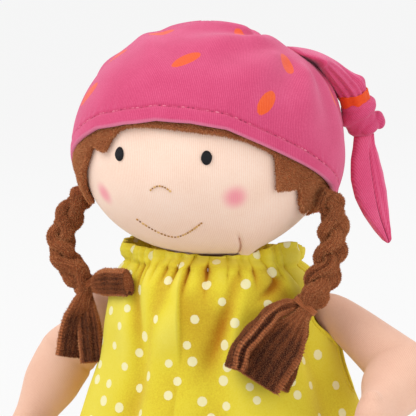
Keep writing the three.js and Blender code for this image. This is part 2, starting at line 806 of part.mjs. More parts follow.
// The loose end of each strip beyond the tie: places and the broad way as [across, up, forwards] shares of
// its length, and its half width
const fanTurn = degToRad(23);
const fans = {
  left: [
    {
      shares: [[0.06, -0.28, -0.1], [0.12, -0.62, 0.08], [0.06, -1.08, 0.24]],
      broad: [1, 0, -0.7],
      wideShare: 1.1,
    },
    {
      shares: [[0, -0.24, 0.26], [-0.16, -0.6, 0.42], [-0.38, -0.95, 0.52]],
      broad: [1, -0.4, 0],
      wideShare: 1.8,
    },
    {
      shares: [[-0.29, 0.07, 0.1], [-0.6, -0.1, 0.32], [-0.78, -0.6, 0.56]],
      broad: [0.2, 0.4, 1],
      wideShare: 1.2,
    },
  ],
  right: [
    {
      shares: [[-0.02, -0.3, 0.14], [-0.04, -0.64, 0.2], [-0.1, -0.97, 0.22]],
      broad: [0.7, 0, -1],
      wideShare: 1.1,
    },
    {
      shares: [[-0.12, -0.24, 0.14], [-0.29, -0.58, 0.36], [-0.45, -0.96, 0.5]],
      broad: [1, -0.2, 0.3],
      wideShare: 1.3,
    },
    {
      shares: [[0.18, 0.02, 0.24], [0.3, 0.04, 0.52], [0.42, -0.02, 0.78]],
      broad: [0.3, 1, 0.2],
      wideShare: 1,
    },
  ],
};

// A vector from its parts across, up and forwards, seen from where the doll's face and left side both show
function fanVector([across, rise, forwards], size) {
  return new Vector3(
    across * Math.cos(fanTurn) + forwards * Math.sin(fanTurn),
    across * Math.sin(fanTurn) - forwards * Math.cos(fanTurn),
    rise,
  ).multiplyScalar(size);
}

function braidCurve(sideName) {
  const points = braidRouteShares[sideName].map((shares) => (
    new Vector3(...shares).multiplyScalar(headHalfWidth).add(headAt)));
  return new THREE.CatmullRomCurve3(points, false, 'centripetal');
}

const plaitedShare = 0.84;
const tieShare = 0.96;

// The place of a strand in the braid, and how far the braid has drawn in towards its tie
function strandAt(curve, strand, share) {
  const centre = curve.getPointAt(share);
  const tangent = curve.getTangentAt(share);
  const away = centre.clone().sub(headAt);
  const outward = away.setZ(0).addScaledVector(tangent, -away.dot(tangent)).normalize();
  const across = outward.clone().cross(tangent).normalize();
  const angle = fullTurn * (braidTurns * Math.min(share / plaitedShare, 1) + strand / 3);
  const pinch = THREE.MathUtils.smoothstep(share, plaitedShare, tieShare);
  const tieAngle = (fullTurn * strand) / 3;
  const x = lerp(braidSwing * Math.sin(angle), pinchRadius * Math.cos(tieAngle), pinch);
  const y = lerp(braidWeave * Math.sin(2 * angle), pinchRadius * Math.sin(tieAngle), pinch);
  return { place: centre.addScaledVector(across, x).addScaledVector(outward, y), outward, pinch };
}

// One plush strip of a braid: plaited with the two others, drawn in at the tie, then fanning out
function plaitedStrip(sideName, strand, grow) {
  const curve = braidCurve(sideName);
  const fan = fans[sideName][strand];
  const broad = fanVector(fan.broad, 1).normalize();
  const rows = [];
  const addRow = (centre, tangent, wideSide, halfWide, halfThick) => {
    const wide = wideSide.clone().addScaledVector(tangent, -wideSide.dot(tangent)).normalize();
    const deep = tangent.clone().cross(wide);
    const [across, through] = [halfWide + grow, halfThick + grow];
    rows.push(oval(centre, wide.multiplyScalar(across), deep.multiplyScalar(through), stripSides));
  };
  const step = 1 / braidSteps;
  const start = strandAt(curve, strand, 0).place;
  let sense = 1;
  for (let i = 0; i <= braidSteps; i++) {
    const share = i * step;
    const { place, outward, pinch } = strandAt(curve, strand, share);
    const before = strandAt(curve, strand, Math.max(share - step / 2, 0)).place;
    const after = strandAt(curve, strand, Math.min(share + step / 2, 1)).place;
    const tangent = after.sub(before).normalize();
    const flat = outward.clone().cross(tangent).normalize();
    if (i === 0) sense = flat.dot(broad) < 0 ? -1 : 1;
    const wide = flat.multiplyScalar(sense).lerp(broad, pinch / 2);
    const halfWide = lerp(stripHalfWidth, pinchHalf, pinch);
    addRow(place, tangent, wide, halfWide, lerp(stripHalfThick, pinchHalf, pinch));
  }
  const tie = curve.getPointAt(1);
  const pinched = strandAt(curve, strand, 1).place.sub(tie);
  const loose = new THREE.CatmullRomCurve3([
    tie.clone().add(pinched),
    ...fan.shares.map((shares, k) => fanVector(shares, fanLength).add(tie).addScaledVector(pinched, 1 - k / 3)),
  ], false, 'centripetal');
  for (let i = 1; i <= fanSteps; i++) {
    const share = i / fanSteps;
    const halfWide = lerp(pinchHalf, fan.wideShare * fanHalfWidth, share);
    const halfThick = lerp(pinchHalf, fanHalfThick, share);
    addRow(loose.getPointAt(share), loose.getTangentAt(share), broad, halfWide, halfThick);
  }
  return bodyThrough([[start], ...rows, [loose.getPointAt(1)]]);
}

// A strip cut where it would touch the hair or the strips before it
function braidStrip(sideName, strand) {
  const others = Array.from({ length: strand }, (_, k) => plaitedStrip(sideName, k, gap));
  return cut(plaitedStrip(sideName, strand, 0), headBall(hairOver + gap), ...others);
}

// Thread wound round the braid where its strips draw in
function braidTie(sideName) {
  const curve = braidCurve(sideName);
  const geometry = new THREE.TorusGeometry(pinchRadius + pinchHalf + gap + tieThread, tieThread, 6, 16);
  const turnTo = new THREE.Quaternion().setFromUnitVectors(up, curve.getTangentAt(tieShare));
  geometry.applyQuaternion(turnTo);
  const tie = curve.getPointAt(tieShare);
  geometry.translate(tie.x, tie.y, tie.z);
  return geometry;
}

// How each arm is held: below the level and forwards of sideways, for the upper arm and the forearm
const armPoses = {
  left: {
    side: 1, drop: degToRad(32), forwards: degToRad(5), foreDrop: degToRad(16), foreForwards: degToRad(90),
    bend: degToRad(15),
  },
  right: {
    side: -1, drop: degToRad(42), forwards: 0, foreDrop: degToRad(57), foreForwards: degToRad(50),
    bend: degToRad(45),
  },
};

function sideways(side, drop, forwards) {
  return new Vector3(
    side * Math.cos(drop) * Math.cos(forwards),
    -Math.cos(drop) * Math.sin(forwards),
    -Math.sin(drop),
  );
}

function shoulderAt(side) {
  const [, wide] = sizesAt(bodyShares, shoulderHeight / bodyHeight);
  return new Vector3(side * (bodyHalfWidth * wide + shoulderBall + gap * 2), shoulderBack, shoulderHeight);
}

// The upper arm's stations, grown by a clearance where it is the tool of a cut
function upperArm(pose, grow = 0) {
  const stations = [
    [0, shoulderBall, shoulderBall], [upperArmLength * 0.3, shoulderBall, shoulderBall],
    [upperArmLength * 0.65, lerp(shoulderBall, elbowBall, 0.7), lerp(shoulderBall, elbowBall, 0.7)],
    [upperArmLength, elbowBall, elbowBall],
  ].map(([place, wide, deep]) => [place, wide + grow, deep + grow]);
  const way = sideways(pose.side, pose.drop, pose.forwards);
  return stuffedTube(shoulderAt(pose.side), way, up, stations, limbSides);
}

// Forearm and hand in one, with a thumb, cut by the upper arm through all of its bend
function forearm(pose) {
  const upperWay = sideways(pose.side, pose.drop, pose.forwards);
  const way = sideways(pose.side, pose.foreDrop, pose.foreForwards);
  const elbow = shoulderAt(pose.side).addScaledVector(upperWay, upperArmLength);
  const axis = upperWay.clone().cross(way).normalize();
  const handWide = way.clone().cross(new Vector3(pose.side, 0, 0)).normalize();
  const palm = handWide.clone().cross(way);
  const stations = [
    [0, elbowSeam, elbowSeam], [elbowBall * 0.9, elbowSeam, elbowSeam],
    [elbowBall * 1.3, elbowBall * 0.95, elbowBall * 0.95],
    [forearmLength * 0.68, wristHalf, wristHalf * 0.95],
    [forearmLength * 0.88, handHalfWidth * 0.95, handHalfThick],
    [forearmLength, handHalfWidth, handHalfThick],
    [forearmLength + handHalfWidth * 0.5, handHalfWidth * 0.9, handHalfThick],
  ];
  const sleeve = stuffedTube(elbow, way, handWide, stations, limbSides);
  const thumbFrom = elbow.clone().addScaledVector(way, forearmLength * 0.82)
    .addScaledVector(handWide, handHalfWidth * 0.6);
  const thumbWay = way.clone().multiplyScalar(0.55).addScaledVector(handWide, 0.8).normalize();
  const thumbStations = [[0, thumbHalf, thumbHalf], [thumbLength, thumbHalf * 0.85, thumbHalf * 0.85]];
  const whole = join(sleeve, stuffedTube(thumbFrom, thumbWay, palm, thumbStations, 8));
  const grown = upperArm(pose, gap * 2);
  return cut(whole, grown, turned(grown, elbow, axis, -pose.bend / 2), turned(grown, elbow, axis, -pose.bend));
}

// Where the thigh joins the body's front, lying on the floor
function hipAt(side) {
  const height = hipBall - floorCut;
  const [, wide, deep] = sizesAt(bodyShares, height / bodyHeight);
  const front = bodyHalfDepth * deep * Math.sqrt(1 - (hipSide / (bodyHalfWidth * wide)) ** 2);
  return new Vector3(side * hipSide, -front - hipBall - gap * 4, height);
}

const legSplay = 0.05;

// The way a stretch of leg runs when its underside lies on the floor
function alongFloor(side, length, fall) {
  return new Vector3(side * legSplay, -1, -fall / length).normalize();
}

function thigh(side, grow = 0) {
  const stations = [
    [0, hipBall, hipBall], [thighLength * 0.4, hipBall, hipBall],
    [thighLength * 0.75, lerp(hipBall, kneeBall, 0.6), lerp(hipBall, kneeBall, 0.6)],
    [thighLength, kneeBall, kneeBall],
  ].map(([place, wide, deep]) => [place, wide + grow, deep + grow]);
  return stuffedTube(hipAt(side), alongFloor(side, thighLength, hipBall - kneeBall), up, stations, limbSides);
}

function kneeAt(side) {
  return hipAt(side).addScaledVector(alongFloor(side, thighLength, hipBall - kneeBall), thighLength);
}

const sideAxis = new Vector3(1, 0, 0);

function shinStations(grow) {
  return [
    [0, kneeSeam, kneeSeam], [kneeBall * 0.9, kneeSeam, kneeSeam], [kneeBall * 1.25, ankleHalf, ankleHalf],
    [shinLength * 0.6, ankleHalf * 1.05, ankleHalf * 1.05], [shinLength, ankleHalf, ankleHalf],
  ].map(([place, wide, deep]) => [place, wide + grow, deep + grow]);
}

function shinWay(side) {
  return alongFloor(side, shinLength, kneeBall - ankleHalf);
}

function wholeShin(side, grow = 0) {
  return stuffedTube(kneeAt(side), shinWay(side), up, shinStations(grow), limbSides);
}

function shin(side) {
  return cut(wholeShin(side), underFloor, ball(kneeBall + gap * 2, kneeAt(side)));
}

// A stuffed foot, heel on the floor and toes up
function foot(side) {
  const ankle = kneeAt(side).addScaledVector(shinWay(side), shinLength);
  const heel = ankle.clone();
  heel.y -= ankleHalf * 0.6;
  heel.z = footHalfLength - floorCut;
  const way = new Vector3(0, -0.18, 1).normalize();
  const toes = footHeight - footHalfLength * 2;
  const stations = [
    [0, footHalfWidth, footHalfLength], [toes * 0.6, footHalfWidth, footHalfLength * 0.92],
    [toes, footHalfWidth * 0.9, footHalfLength * 0.85],
  ];
  return cut(stuffedTube(heel, way, sideAxis, stations, limbSides), underFloor, wholeShin(side, gap));
}

const doll = new THREE.Group();
doll.name = 'soft_doll';

function add(name, geometry, color, roughness = 0.95) {
  const mesh = new THREE.Mesh(geometry, new THREE.MeshStandardMaterial({ color, roughness, metalness: 0 }));
  mesh.name = name;
  doll.add(mesh);
}

add('body_skin', bodySkin(), skinTone);
add('body_filling', bodyFilling(), fillTone);
add('dress', dress(), dressTone);
add('neck_elastic', neckElastic(), fillTone);
add('neck_plug', neckPlug(), fillTone);
add('head_skin', headSkin(), skinTone);
add('head_filling', headFilling(), fillTone);
add('hair', hairPiece(), hairTone);
add('eye_left', eye(1), inkTone);
add('eye_right', eye(-1), inkTone);
add('nose_stitching', nose(), stitchTone);
add('mouth_stitching', mouth(), stitchTone);
add('cap_crown', capCrown(), capTone);
add('cap_gather', capGather(), capTone);
add('cap_band', tailBand(), bandTone);
add('cap_knot', tailKnot(), capTone);
add('cap_tail_end', tailEnd(), capTone);
for (const [sideName, pose] of Object.entries(armPoses)) {
  const { side } = pose;
  for (let strand = 0; strand < 3; strand++) {
    add(`braid_${sideName}_strip_${strand + 1}`, braidStrip(sideName, strand), hairTone);
  }
  add(`braid_${sideName}_tie`, braidTie(sideName), hairTone);
  add(`upper_arm_${sideName}`, upperArm(pose), skinTone);
  add(`forearm_${sideName}`, forearm(pose), skinTone);
  add(`thigh_${sideName}`, cut(thigh(side), underFloor), leggingTone);
  add(`shin_${sideName}`, shin(side), leggingTone);
  add(`foot_${sideName}`, foot(side), skinTone);
}

export default doll;
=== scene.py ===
import math

import bmesh
import bpy
import numpy as np
from mathutils import Matrix, Vector


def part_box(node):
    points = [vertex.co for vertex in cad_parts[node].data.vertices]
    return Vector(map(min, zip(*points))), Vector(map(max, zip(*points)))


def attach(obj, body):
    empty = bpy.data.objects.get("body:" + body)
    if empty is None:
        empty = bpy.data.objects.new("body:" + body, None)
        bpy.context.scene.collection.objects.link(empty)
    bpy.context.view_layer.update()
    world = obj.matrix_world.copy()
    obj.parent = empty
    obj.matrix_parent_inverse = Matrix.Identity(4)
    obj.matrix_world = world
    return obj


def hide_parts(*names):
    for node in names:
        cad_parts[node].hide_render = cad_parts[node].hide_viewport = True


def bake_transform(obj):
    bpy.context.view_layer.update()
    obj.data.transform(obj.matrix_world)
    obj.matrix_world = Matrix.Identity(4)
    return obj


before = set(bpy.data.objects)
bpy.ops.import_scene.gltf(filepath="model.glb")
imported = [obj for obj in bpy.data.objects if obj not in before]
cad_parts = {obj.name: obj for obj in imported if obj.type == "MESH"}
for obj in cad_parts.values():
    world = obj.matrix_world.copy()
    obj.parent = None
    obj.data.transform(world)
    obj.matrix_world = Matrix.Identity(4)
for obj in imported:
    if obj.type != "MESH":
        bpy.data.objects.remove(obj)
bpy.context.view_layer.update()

# Studio: the doll is seen from a little above its eyes and from its own left, close up, on a pale floor
# under soft light that comes mostly from the viewer's left.
mm = 0.001
head_at = np.array([-4.0, -10.0, 158.0])
view_turn, view_rise = math.radians(22), math.radians(8.3)
view_away, view_across, view_lower = 850, 0.9, 26.1
frame_pixels, focal_pixels = 416, 1889


def linear(hex_tone):
    """A written colour, as the renderer's linear red, green, blue and alpha."""
    parts = [int(hex_tone[i:i + 2], 16) / 255 for i in (0, 2, 4)]
    return [p / 12.92 if p < 0.04045 else ((p + 0.055) / 1.055) ** 2.4 for p in parts] + [1]


def place(tree, kind, inputs=None, **settings):
    """One node in a tree: settings on the node, values or links on its sockets."""
    made = tree.nodes.new(kind)
    for name, value in settings.items():
        setattr(made, name, value)
    for socket, value in (inputs or {}).items():
        if isinstance(value, bpy.types.NodeSocket):
            tree.links.new(value, made.inputs[socket])
        else:
            made.inputs[socket].default_value = value
    return made


def calc(tree, operation, *values):
    """The result of one sum on values or sockets."""
    return place(tree, "ShaderNodeMath", dict(enumerate(values)), operation=operation).outputs[0]


def seen_straight(tree):
    """One for rays from the camera, also by way of gloss or glass, and nought for light that spreads."""
    path = place(tree, "ShaderNodeLightPath")
    seen = calc(tree, "MAXIMUM", path.outputs["Is Camera Ray"], path.outputs["Is Glossy Ray"])
    return calc(tree, "MAXIMUM", seen, path.outputs["Is Transmission Ray"])


def away_from(turn, rise):
    return np.array([math.sin(turn) * math.cos(rise), -math.cos(turn) * math.cos(rise), math.sin(rise)])


back = away_from(view_turn, view_rise)
right = np.array([math.cos(view_turn), math.sin(view_turn), 0])
raised = np.cross(back, right)
eye_at = (head_at + back * view_away + right * view_across - raised * view_lower) * mm
camera = bpy.data.objects.new("camera", bpy.data.cameras.new("camera"))
camera.data.sensor_width = 36
camera.data.lens = camera.data.sensor_width * focal_pixels / frame_pixels
camera.matrix_world = Matrix([(right[i], raised[i], back[i], eye_at[i]) for i in range(3)] + [(0, 0, 0, 1)])
scene = bpy.context.scene
scene.collection.objects.link(camera)
scene.camera = camera
scene.view_settings.view_transform = "Standard"

for name, turn, rise, far, wide, watts in (
    ("window", -38, 44, 1.1, 0.75, 5.6), ("side_lamp", 74, 6, 1.2, 0.9, 3.2),
    ("rear_lamp", 178, 50, 1.2, 0.8, 2.4),
):
    lamp = bpy.data.lights.new(name, "AREA")
    lamp.shape, lamp.size, lamp.energy = "DISK", wide, watts
    way = away_from(math.radians(turn), math.radians(rise))
    lamp_object = bpy.data.objects.new(name, lamp)
    lamp_object.location = head_at * mm + way * far
    lamp_object.rotation_euler = Vector(way).to_track_quat("Z", "Y").to_euler()
    scene.collection.objects.link(lamp_object)

world = bpy.data.worlds.new("studio")
world.use_nodes = True
scene.world = world
sky = world.node_tree
sky.nodes.clear()
level = calc(sky, "MULTIPLY_ADD", seen_straight(sky), 0.2, 0.8)
dome = place(sky, "ShaderNodeBackground", {"Color": linear("F9F9F9"), "Strength": level})
place(sky, "ShaderNodeOutputWorld", {"Surface": dome.outputs[0]})

floor_finish = bpy.data.materials.new("studio floor")
floor_finish.use_nodes = True
tree = floor_finish.node_tree
tree.nodes.clear()
paper = place(tree, "ShaderNodeBsdfDiffuse", {"Color": linear("E6E6E6")})
lift = place(tree, "ShaderNodeEmission", {"Color": linear("FCFCFC"), "Strength": 1.0})
bright = calc(tree, "MULTIPLY", seen_straight(tree), 0.85)
both = place(tree, "ShaderNodeMixShader", {0: bright, 1: paper.outputs[0], 2: lift.outputs[0]})
place(tree, "ShaderNodeOutputMaterial", {"Surface": both.outputs[0]})
bpy.ops.mesh.primitive_plane_add(size=24)
floor = bpy.context.object
floor.name = "studio_floor"
floor.data.materials.append(floor_finish)

# Head skin: knitted skin-coloured jersey pulled over a stuffed ball, its fine ribs running up the face, drawn
# in at the neck below, with a dart sewn at the chin and a blush rubbed on each cheek.
head_wide, head_deep, head_up, head_down = 57, 55, 53.4, 47
jersey = 1.2
neck_opening = 18
neck_polar = math.pi - math.asin(neck_opening / head_wide)
full_turn = 2 * math.pi


def standing_ring(turn, wide, deep, height):
    """Points round an upright body: how far out they lie at its sides and at its front, and how high."""
    return np.stack(np.broadcast_arrays(wide * np.sin(turn), -deep * np.cos(turn), height), axis=-1)


def over_head(turn, polar, off):
    """Points over the head: the turn from the face to the doll's left, the angle from the crown, height."""
    turn, polar, off = np.broadcast_arrays(turn, polar, off)
    rise, reach = np.cos(polar), np.sin(polar)
    half = np.where(rise > 0, head_up, head_down) + off
    return head_at + standing_ring(turn, (head_wide + off) * reach, (head_deep + off) * reach, half * rise)


def polar_at(height, off=0):
    """The angle from the crown at which a surface reaches a height over the head's middle."""
    height = np.asarray(height, dtype=float)
    return np.arccos(np.clip(height / (np.where(height > 0, head_up, head_down) + off), -1, 1))


def turns(columns):
    return np.linspace(0, full_turn, columns, endpoint=False)


def smooth(low, high, value):
    share = np.clip((value - low) / (high - low), 0, 1)
    return share * share * (3 - 2 * share)


def unit(ways):
    """The same ways, each of length one."""
    return ways / np.linalg.norm(ways, axis=-1, keepdims=True)


def square_to(ways, way):
    """What lies square to the ways that a line runs, out of one way or a way for each place."""
    return unit(way - (way * ways).sum(axis=-1)[:, None] * ways)


def sections(line, wide, deep, x, y):
    """Rings along a line: each point's place x across it, along the wide way, and y along the deep way."""
    return line[:, None] + x[..., None] * wide[..., None, :] + y[..., None] * deep[..., None, :]


def run_along(line):
    """How far along a line each of its points lies."""
    return np.concatenate([[0], np.cumsum(np.linalg.norm(np.diff(line, axis=0), axis=1))])


def hump(value, middle, half):
    return np.exp(-((value - middle) / half) ** 2)


def ripple(seed, size, *places):
    """Soft unevenness between -1 and 1 at places in mm, from a few waves of mixed lengths."""
    rng = np.random.default_rng(seed)
    total = np.zeros(np.broadcast(*places).shape)
    for _ in range(7):
        way = rng.normal(size=len(places))
        way *= full_turn / size * rng.uniform(0.5, 1.3) / np.linalg.norm(way)
        total += np.sin(sum(w * p for w, p in zip(way, places)) + rng.uniform(0, full_turn))
    return total / 4


def ring_mesh(name, rows, start=None, end=None, ring=False):
    """A mesh in metres through rows of points in mm, each row closed round, with poles or as a ring."""
    rows = np.asarray(rows, dtype=float)
    count, columns = rows.shape[:2]
    points = [rows.reshape(-1, 3)]
    j = np.arange(columns)
    k = (j + 1) % columns
    faces = []
    for i in range(count if ring else count - 1):
        a, b = i * columns, ((i + 1) % count) * columns
        faces += np.column_stack([a + j, b + j, b + k, a + k]).tolist()
    total = count * columns
    for pole, row, sense in ((start, 0, 1), (end, count - 1, -1)):
        if pole is not None:
            points.append(np.asarray(pole, dtype=float).reshape(1, 3))
            base = row * columns
            fan = np.column_stack([np.full(columns, total), base + j, base + k][::sense])
            faces += fan.tolist()
            total += 1
    mesh = bpy.data.meshes.new(name)
    mesh.from_pydata((np.concatenate(points) * mm).tolist(), [], faces)
    return turned_out(mesh)


def read(items, what, width=1, kind=float):
    """One property of every point, corner or face of a mesh."""
    values = np.empty(len(items) * width, dtype=kind)
    items.foreach_get(what, values)
    return values.reshape(-1, width) if width > 1 else values


def smoothly_shaded(mesh):
    mesh.polygons.foreach_set("use_smooth", np.ones(len(mesh.polygons), dtype=bool))
    return mesh


def turned_out(mesh):
    """The mesh with its faces pointing away from its middle."""
    centres, ways = read(mesh.polygons, "center", 3), read(mesh.polygons, "normal", 3)
    flux = ((centres - centres.mean(axis=0)) * ways).sum(axis=1) @ read(mesh.polygons, "area")
    if flux < 0:
        mesh.flip_normals()
    return smoothly_shaded(mesh)


def lay_cloth(mesh, across, along, round_size=None):
    """Writes each face corner's place in the flat cloth, in mm, across its ribs and along them."""
    corners = read(mesh.loops, "vertex_index", kind=int)
    u, v = across[corners], along[corners]
    if round_size is not None:
        starts = read(mesh.polygons, "loop_start", kind=int)
        first = np.repeat(u[starts], read(mesh.polygons, "loop_total", kind=int))
        size = np.broadcast_to(round_size, across.shape)[corners]
        u = u - np.round((u - first) / size) * size
    layer = mesh.uv_layers.new(name="cloth")
    layer.data.foreach_set("uv", np.column_stack([u, v]).ravel().astype(np.float32))


def note(mesh, name, values):
    """A number kept on each point of a mesh, for its material."""
    mesh.attributes.new(name, "FLOAT", "POINT").data.foreach_set("value",
                                                                 np.asarray(values, dtype=np.float32).ravel())


def at_points(mesh):
    return read(mesh.vertices, "co", 3) / mm


def finished(name, mesh, finish, *nodes, body=None, slot=None):
    """A finished piece of the doll, in place of the plain solids that it stands for."""
    mesh.name = name
    mesh.materials.clear()
    mesh.materials.append(finish)
    made = bpy.data.objects.new(name, mesh)
    scene.collection.objects.link(made)
    if body:
        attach(made, body)
    if nodes:
        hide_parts(*nodes)
    return made


def new_group(name, inputs, outputs):
    group = bpy.data.node_groups.new(name, "ShaderNodeTree")
    for label, value in inputs:
        kind = "NodeSocketColor" if isinstance(value, list) else "NodeSocketFloat"
        group.interface.new_socket(label, in_out="INPUT", socket_type=kind).default_value = value
    for label, kind in outputs:
        group.interface.new_socket(label, in_out="OUTPUT", socket_type=kind)
    return group, group.nodes.new("NodeGroupInput"), group.nodes.new("NodeGroupOutput")


# Knitted loops: ribs side by side, each a chain of small slanted stitches, wandering a little
knit, given, result = new_group(
    "knitted loops", (("Rib width", 0.9), ("Loop height", 0.8), ("Wander", 0.3)),
    (("Rib", "NodeSocketFloat"), ("Height", "NodeSocketFloat")))
flat = place(knit, "ShaderNodeUVMap", uv_map="cloth")
drift = place(knit, "ShaderNodeTexNoise", {"Vector": flat.outputs[0], "Scale": 0.11, "Detail": 2.0})
split = place(knit, "ShaderNodeSeparateXYZ", {0: flat.outputs[0]})
shifted = calc(knit, "MULTIPLY_ADD", calc(knit, "SUBTRACT", drift.outputs[0], 0.5), given.outputs["Wander"],
               split.outputs[0])
ribs = calc(knit, "DIVIDE", shifted, given.outputs["Rib width"])
rib = calc(knit, "MULTIPLY_ADD", calc(knit, "COSINE", calc(knit, "MULTIPLY", ribs, full_turn)), 0.5, 0.5)
slant = calc(knit, "ABSOLUTE", calc(knit, "SUBTRACT", calc(knit, "FRACT", ribs), 0.5))
loop = calc(knit, "MULTIPLY_ADD", slant, 1.3,
            calc(knit, "DIVIDE", split.outputs[1], given.outputs["Loop height"]))
loop = calc(knit, "MULTIPLY_ADD", calc(knit, "COSINE", calc(knit, "MULTIPLY", loop, full_turn)), 0.5, 0.5)
knit.links.new(rib, result.inputs["Rib"])
knit.links.new(calc(knit, "MULTIPLY_ADD", loop, 0.3, calc(knit, "MULTIPLY", rib, 0.7)),
               result.inputs["Height"])

# Uneven tone of cloth: broad soft patches and fine specks of stray fibre
tone, given, result = new_group(
    "cloth tone", (("Deep", [0, 0, 0, 1]), ("Base", [1, 1, 1, 1]), ("Pale", [1, 1, 1, 1]), ("Shade", 0.5),
                   ("Patch size", 60.0), ("Speck size", 1400.0)),
    (("Color", "NodeSocketColor"), ("Fuzz", "NodeSocketFloat")))
spot = place(tone, "ShaderNodeTexCoord")
patch = place(tone, "ShaderNodeTexNoise",
              {"Vector": spot.outputs["Object"], "Scale": given.outputs["Patch size"], "Detail": 3.0})
speck = place(tone, "ShaderNodeTexNoise",
              {"Vector": spot.outputs["Object"], "Scale": given.outputs["Speck size"], "Detail": 2.0})
mixed = calc(tone, "MULTIPLY_ADD", calc(tone, "SUBTRACT", patch.outputs[0], 0.5), 0.35,
             given.outputs["Shade"])
mixed = calc(tone, "MULTIPLY_ADD", calc(tone, "SUBTRACT", speck.outputs[0], 0.5), 0.3, mixed)
low = place(tone, "ShaderNodeMapRange", {0: mixed, 1: 0.0, 2: 0.5})
high = place(tone, "ShaderNodeMapRange", {0: mixed, 1: 0.5, 2: 1.0})
lower = place(tone, "ShaderNodeMix", {0: low.outputs[0], 6: given.outputs["Deep"], 7: given.outputs["Base"]},
              data_type="RGBA")
upper = place(tone, "ShaderNodeMix", {0: high.outputs[0], 6: lower.outputs[2], 7: given.outputs["Pale"]},
              data_type="RGBA")
tone.links.new(upper.outputs[2], result.inputs["Color"])
tone.links.new(speck.outputs[0], result.inputs["Fuzz"])


def new_cloth(name, roughness, sheen, sheen_tint):
    """A cloth material with its constants set, ready for its colour and bump."""
    finish = bpy.data.materials.new(name)
    finish.use_nodes = True
    shader = finish.node_tree.nodes["Principled BSDF"]
    shader.inputs["Roughness"].default_value = roughness
    shader.inputs["Specular IOR Level"].default_value = 0.25
    shader.inputs["Sheen Weight"].default_value = sheen
    shader.inputs["Sheen Roughness"].default_value = 0.5
    shader.inputs["Sheen Tint"].default_value = linear(sheen_tint)
    return finish, finish.node_tree, shader


def group_in(tree, group, **inputs):
    made = place(tree, "ShaderNodeGroup", node_tree=group)
    for label, value in inputs.items():
        socket = made.inputs[label.replace("_", " ").capitalize()]
        if isinstance(value, bpy.types.NodeSocket):
            tree.links.new(value, socket)
        else:
            socket.default_value = value
    return made


def tones_in(tree, tones, **inputs):
    """The uneven tone of cloth, between its deep, its base and its pale colour."""
    deep, base, pale = (linear(written) for written in tones.split())
    return group_in(tree, tone, deep=deep, base=base, pale=pale, **inputs)


def noted(tree, name):
    """What note() kept on the points of a mesh."""
    return place(tree, "ShaderNodeAttribute", attribute_name=name).outputs["Fac"]


def coat(tree, shader, colour, height, strength, distance):
    """Gives a material its colour and its relief."""
    tree.links.new(colour, shader.inputs["Base Color"])
    bump = place(tree, "ShaderNodeBump", {"Height": height, "Strength": strength, "Distance": distance})
    tree.links.new(bump.outputs[0], shader.inputs["Normal"])


def knitted_tones(tree, tones, rib_width, loop_height, wander, lit, unlit, **inputs):
    """Knitted loops and their uneven tone, with a painted highlight on the ribs."""
    loops = group_in(tree, knit, rib_width=rib_width, loop_height=loop_height, wander=wander)
    shade = calc(tree, "MULTIPLY_ADD", loops.outputs["Rib"], lit, unlit)
    return loops, tones_in(tree, tones, shade=shade, **inputs)


def mix_tone(tree, share, first, second):
    return place(tree, "ShaderNodeMix", {0: share, 6: first, 7: second}, data_type="RGBA").outputs[2]


def jersey_finish(name, tones, rib_width, blushes=()):
    """Fine ribbed jersey with a painted highlight on its ribs, and rubbed-on rosy patches where it has them.
    """
    finish, tree, shader = new_cloth(name, 0.9, 0.35, "FFF0E6")
    loops, toned = knitted_tones(tree, tones, rib_width, rib_width * 0.85, 0.8, 0.24, 0.36)
    colour = toned.outputs["Color"]
    for at, half, strength in blushes:
        spot = place(tree, "ShaderNodeTexCoord")
        far = place(tree, "ShaderNodeVectorMath", {0: spot.outputs["Object"], 1: tuple(at)},
                    operation="DISTANCE")
        rub = place(tree, "ShaderNodeMapRange",
                    {0: far.outputs["Value"], 1: half * 0.05, 2: half, 3: 1.0, 4: 0.0},
                    interpolation_type="SMOOTHERSTEP")
        grain = calc(tree, "MULTIPLY_ADD", loops.outputs["Rib"], 0.25, 0.8)
        worn = calc(tree, "MULTIPLY", calc(tree, "MULTIPLY", rub.outputs[0], grain), strength)
        colour = mix_tone(tree, worn, colour, linear("F27A98"))
    relief = calc(tree, "MULTIPLY_ADD", toned.outputs["Fuzz"], 0.35, loops.outputs["Height"])
    coat(tree, shader, colour, relief, 0.35, 0.00012)
    return finish


def jaw_swell(turn, polar):
    """How far the stuffing swells the skin beside the chin's dart."""
    return 2.4 * hump(turn, 0.95, 0.42) * hump(polar, 2.5, 0.26)


head_columns, head_rows = 240, 120
dart_turn, dart_slope = math.radians(40), 0.62
turn_at = turns(head_columns)[None, :]
polar_of = np.linspace(0.02, neck_polar, head_rows)[:, None]
skin_off = 0.25 * ripple(3, 55, turn_at * head_wide, polar_of * head_wide)
gathered = smooth(2.25, neck_polar, polar_of)
skin_off = (skin_off
            + 0.9 * gathered * np.cos(22 * turn_at + 1.5 * np.sin(3 * turn_at)) * smooth(2.78, 3.0, polar_of))
dart = hump(turn_at, dart_turn + (polar_of - 2.3) * dart_slope, 0.02) * smooth(2.24, 2.36, polar_of)
skin_off = skin_off - 1.1 * dart + 2.2 * hump(turn_at, dart_turn + 0.34, 0.11) * hump(polar_of, 2.66, 0.13)
skin_off = skin_off + jaw_swell(turn_at, polar_of)
outer = over_head(turn_at, polar_of, skin_off)
inner = over_head(turn_at, np.linspace(neck_polar, 0.02, 30)[:, None], -jersey)
mesh = ring_mesh("head_skin", np.concatenate([outer, inner]), over_head(0, 0, 0), over_head(0, 0, -jersey))
at = at_points(mesh) - head_at
turn = np.arctan2(at[:, 0] / head_wide, -at[:, 1] / head_deep)
polar = np.arccos(np.clip(at[:, 2] / np.where(at[:, 2] > 0, head_up, head_down), -1, 1))
wale_size = head_wide * np.sin(np.clip(polar, 0.05, math.pi - 0.05)) ** 0.7
lay_cloth(mesh, turn * wale_size, polar * head_wide, full_turn * wale_size)
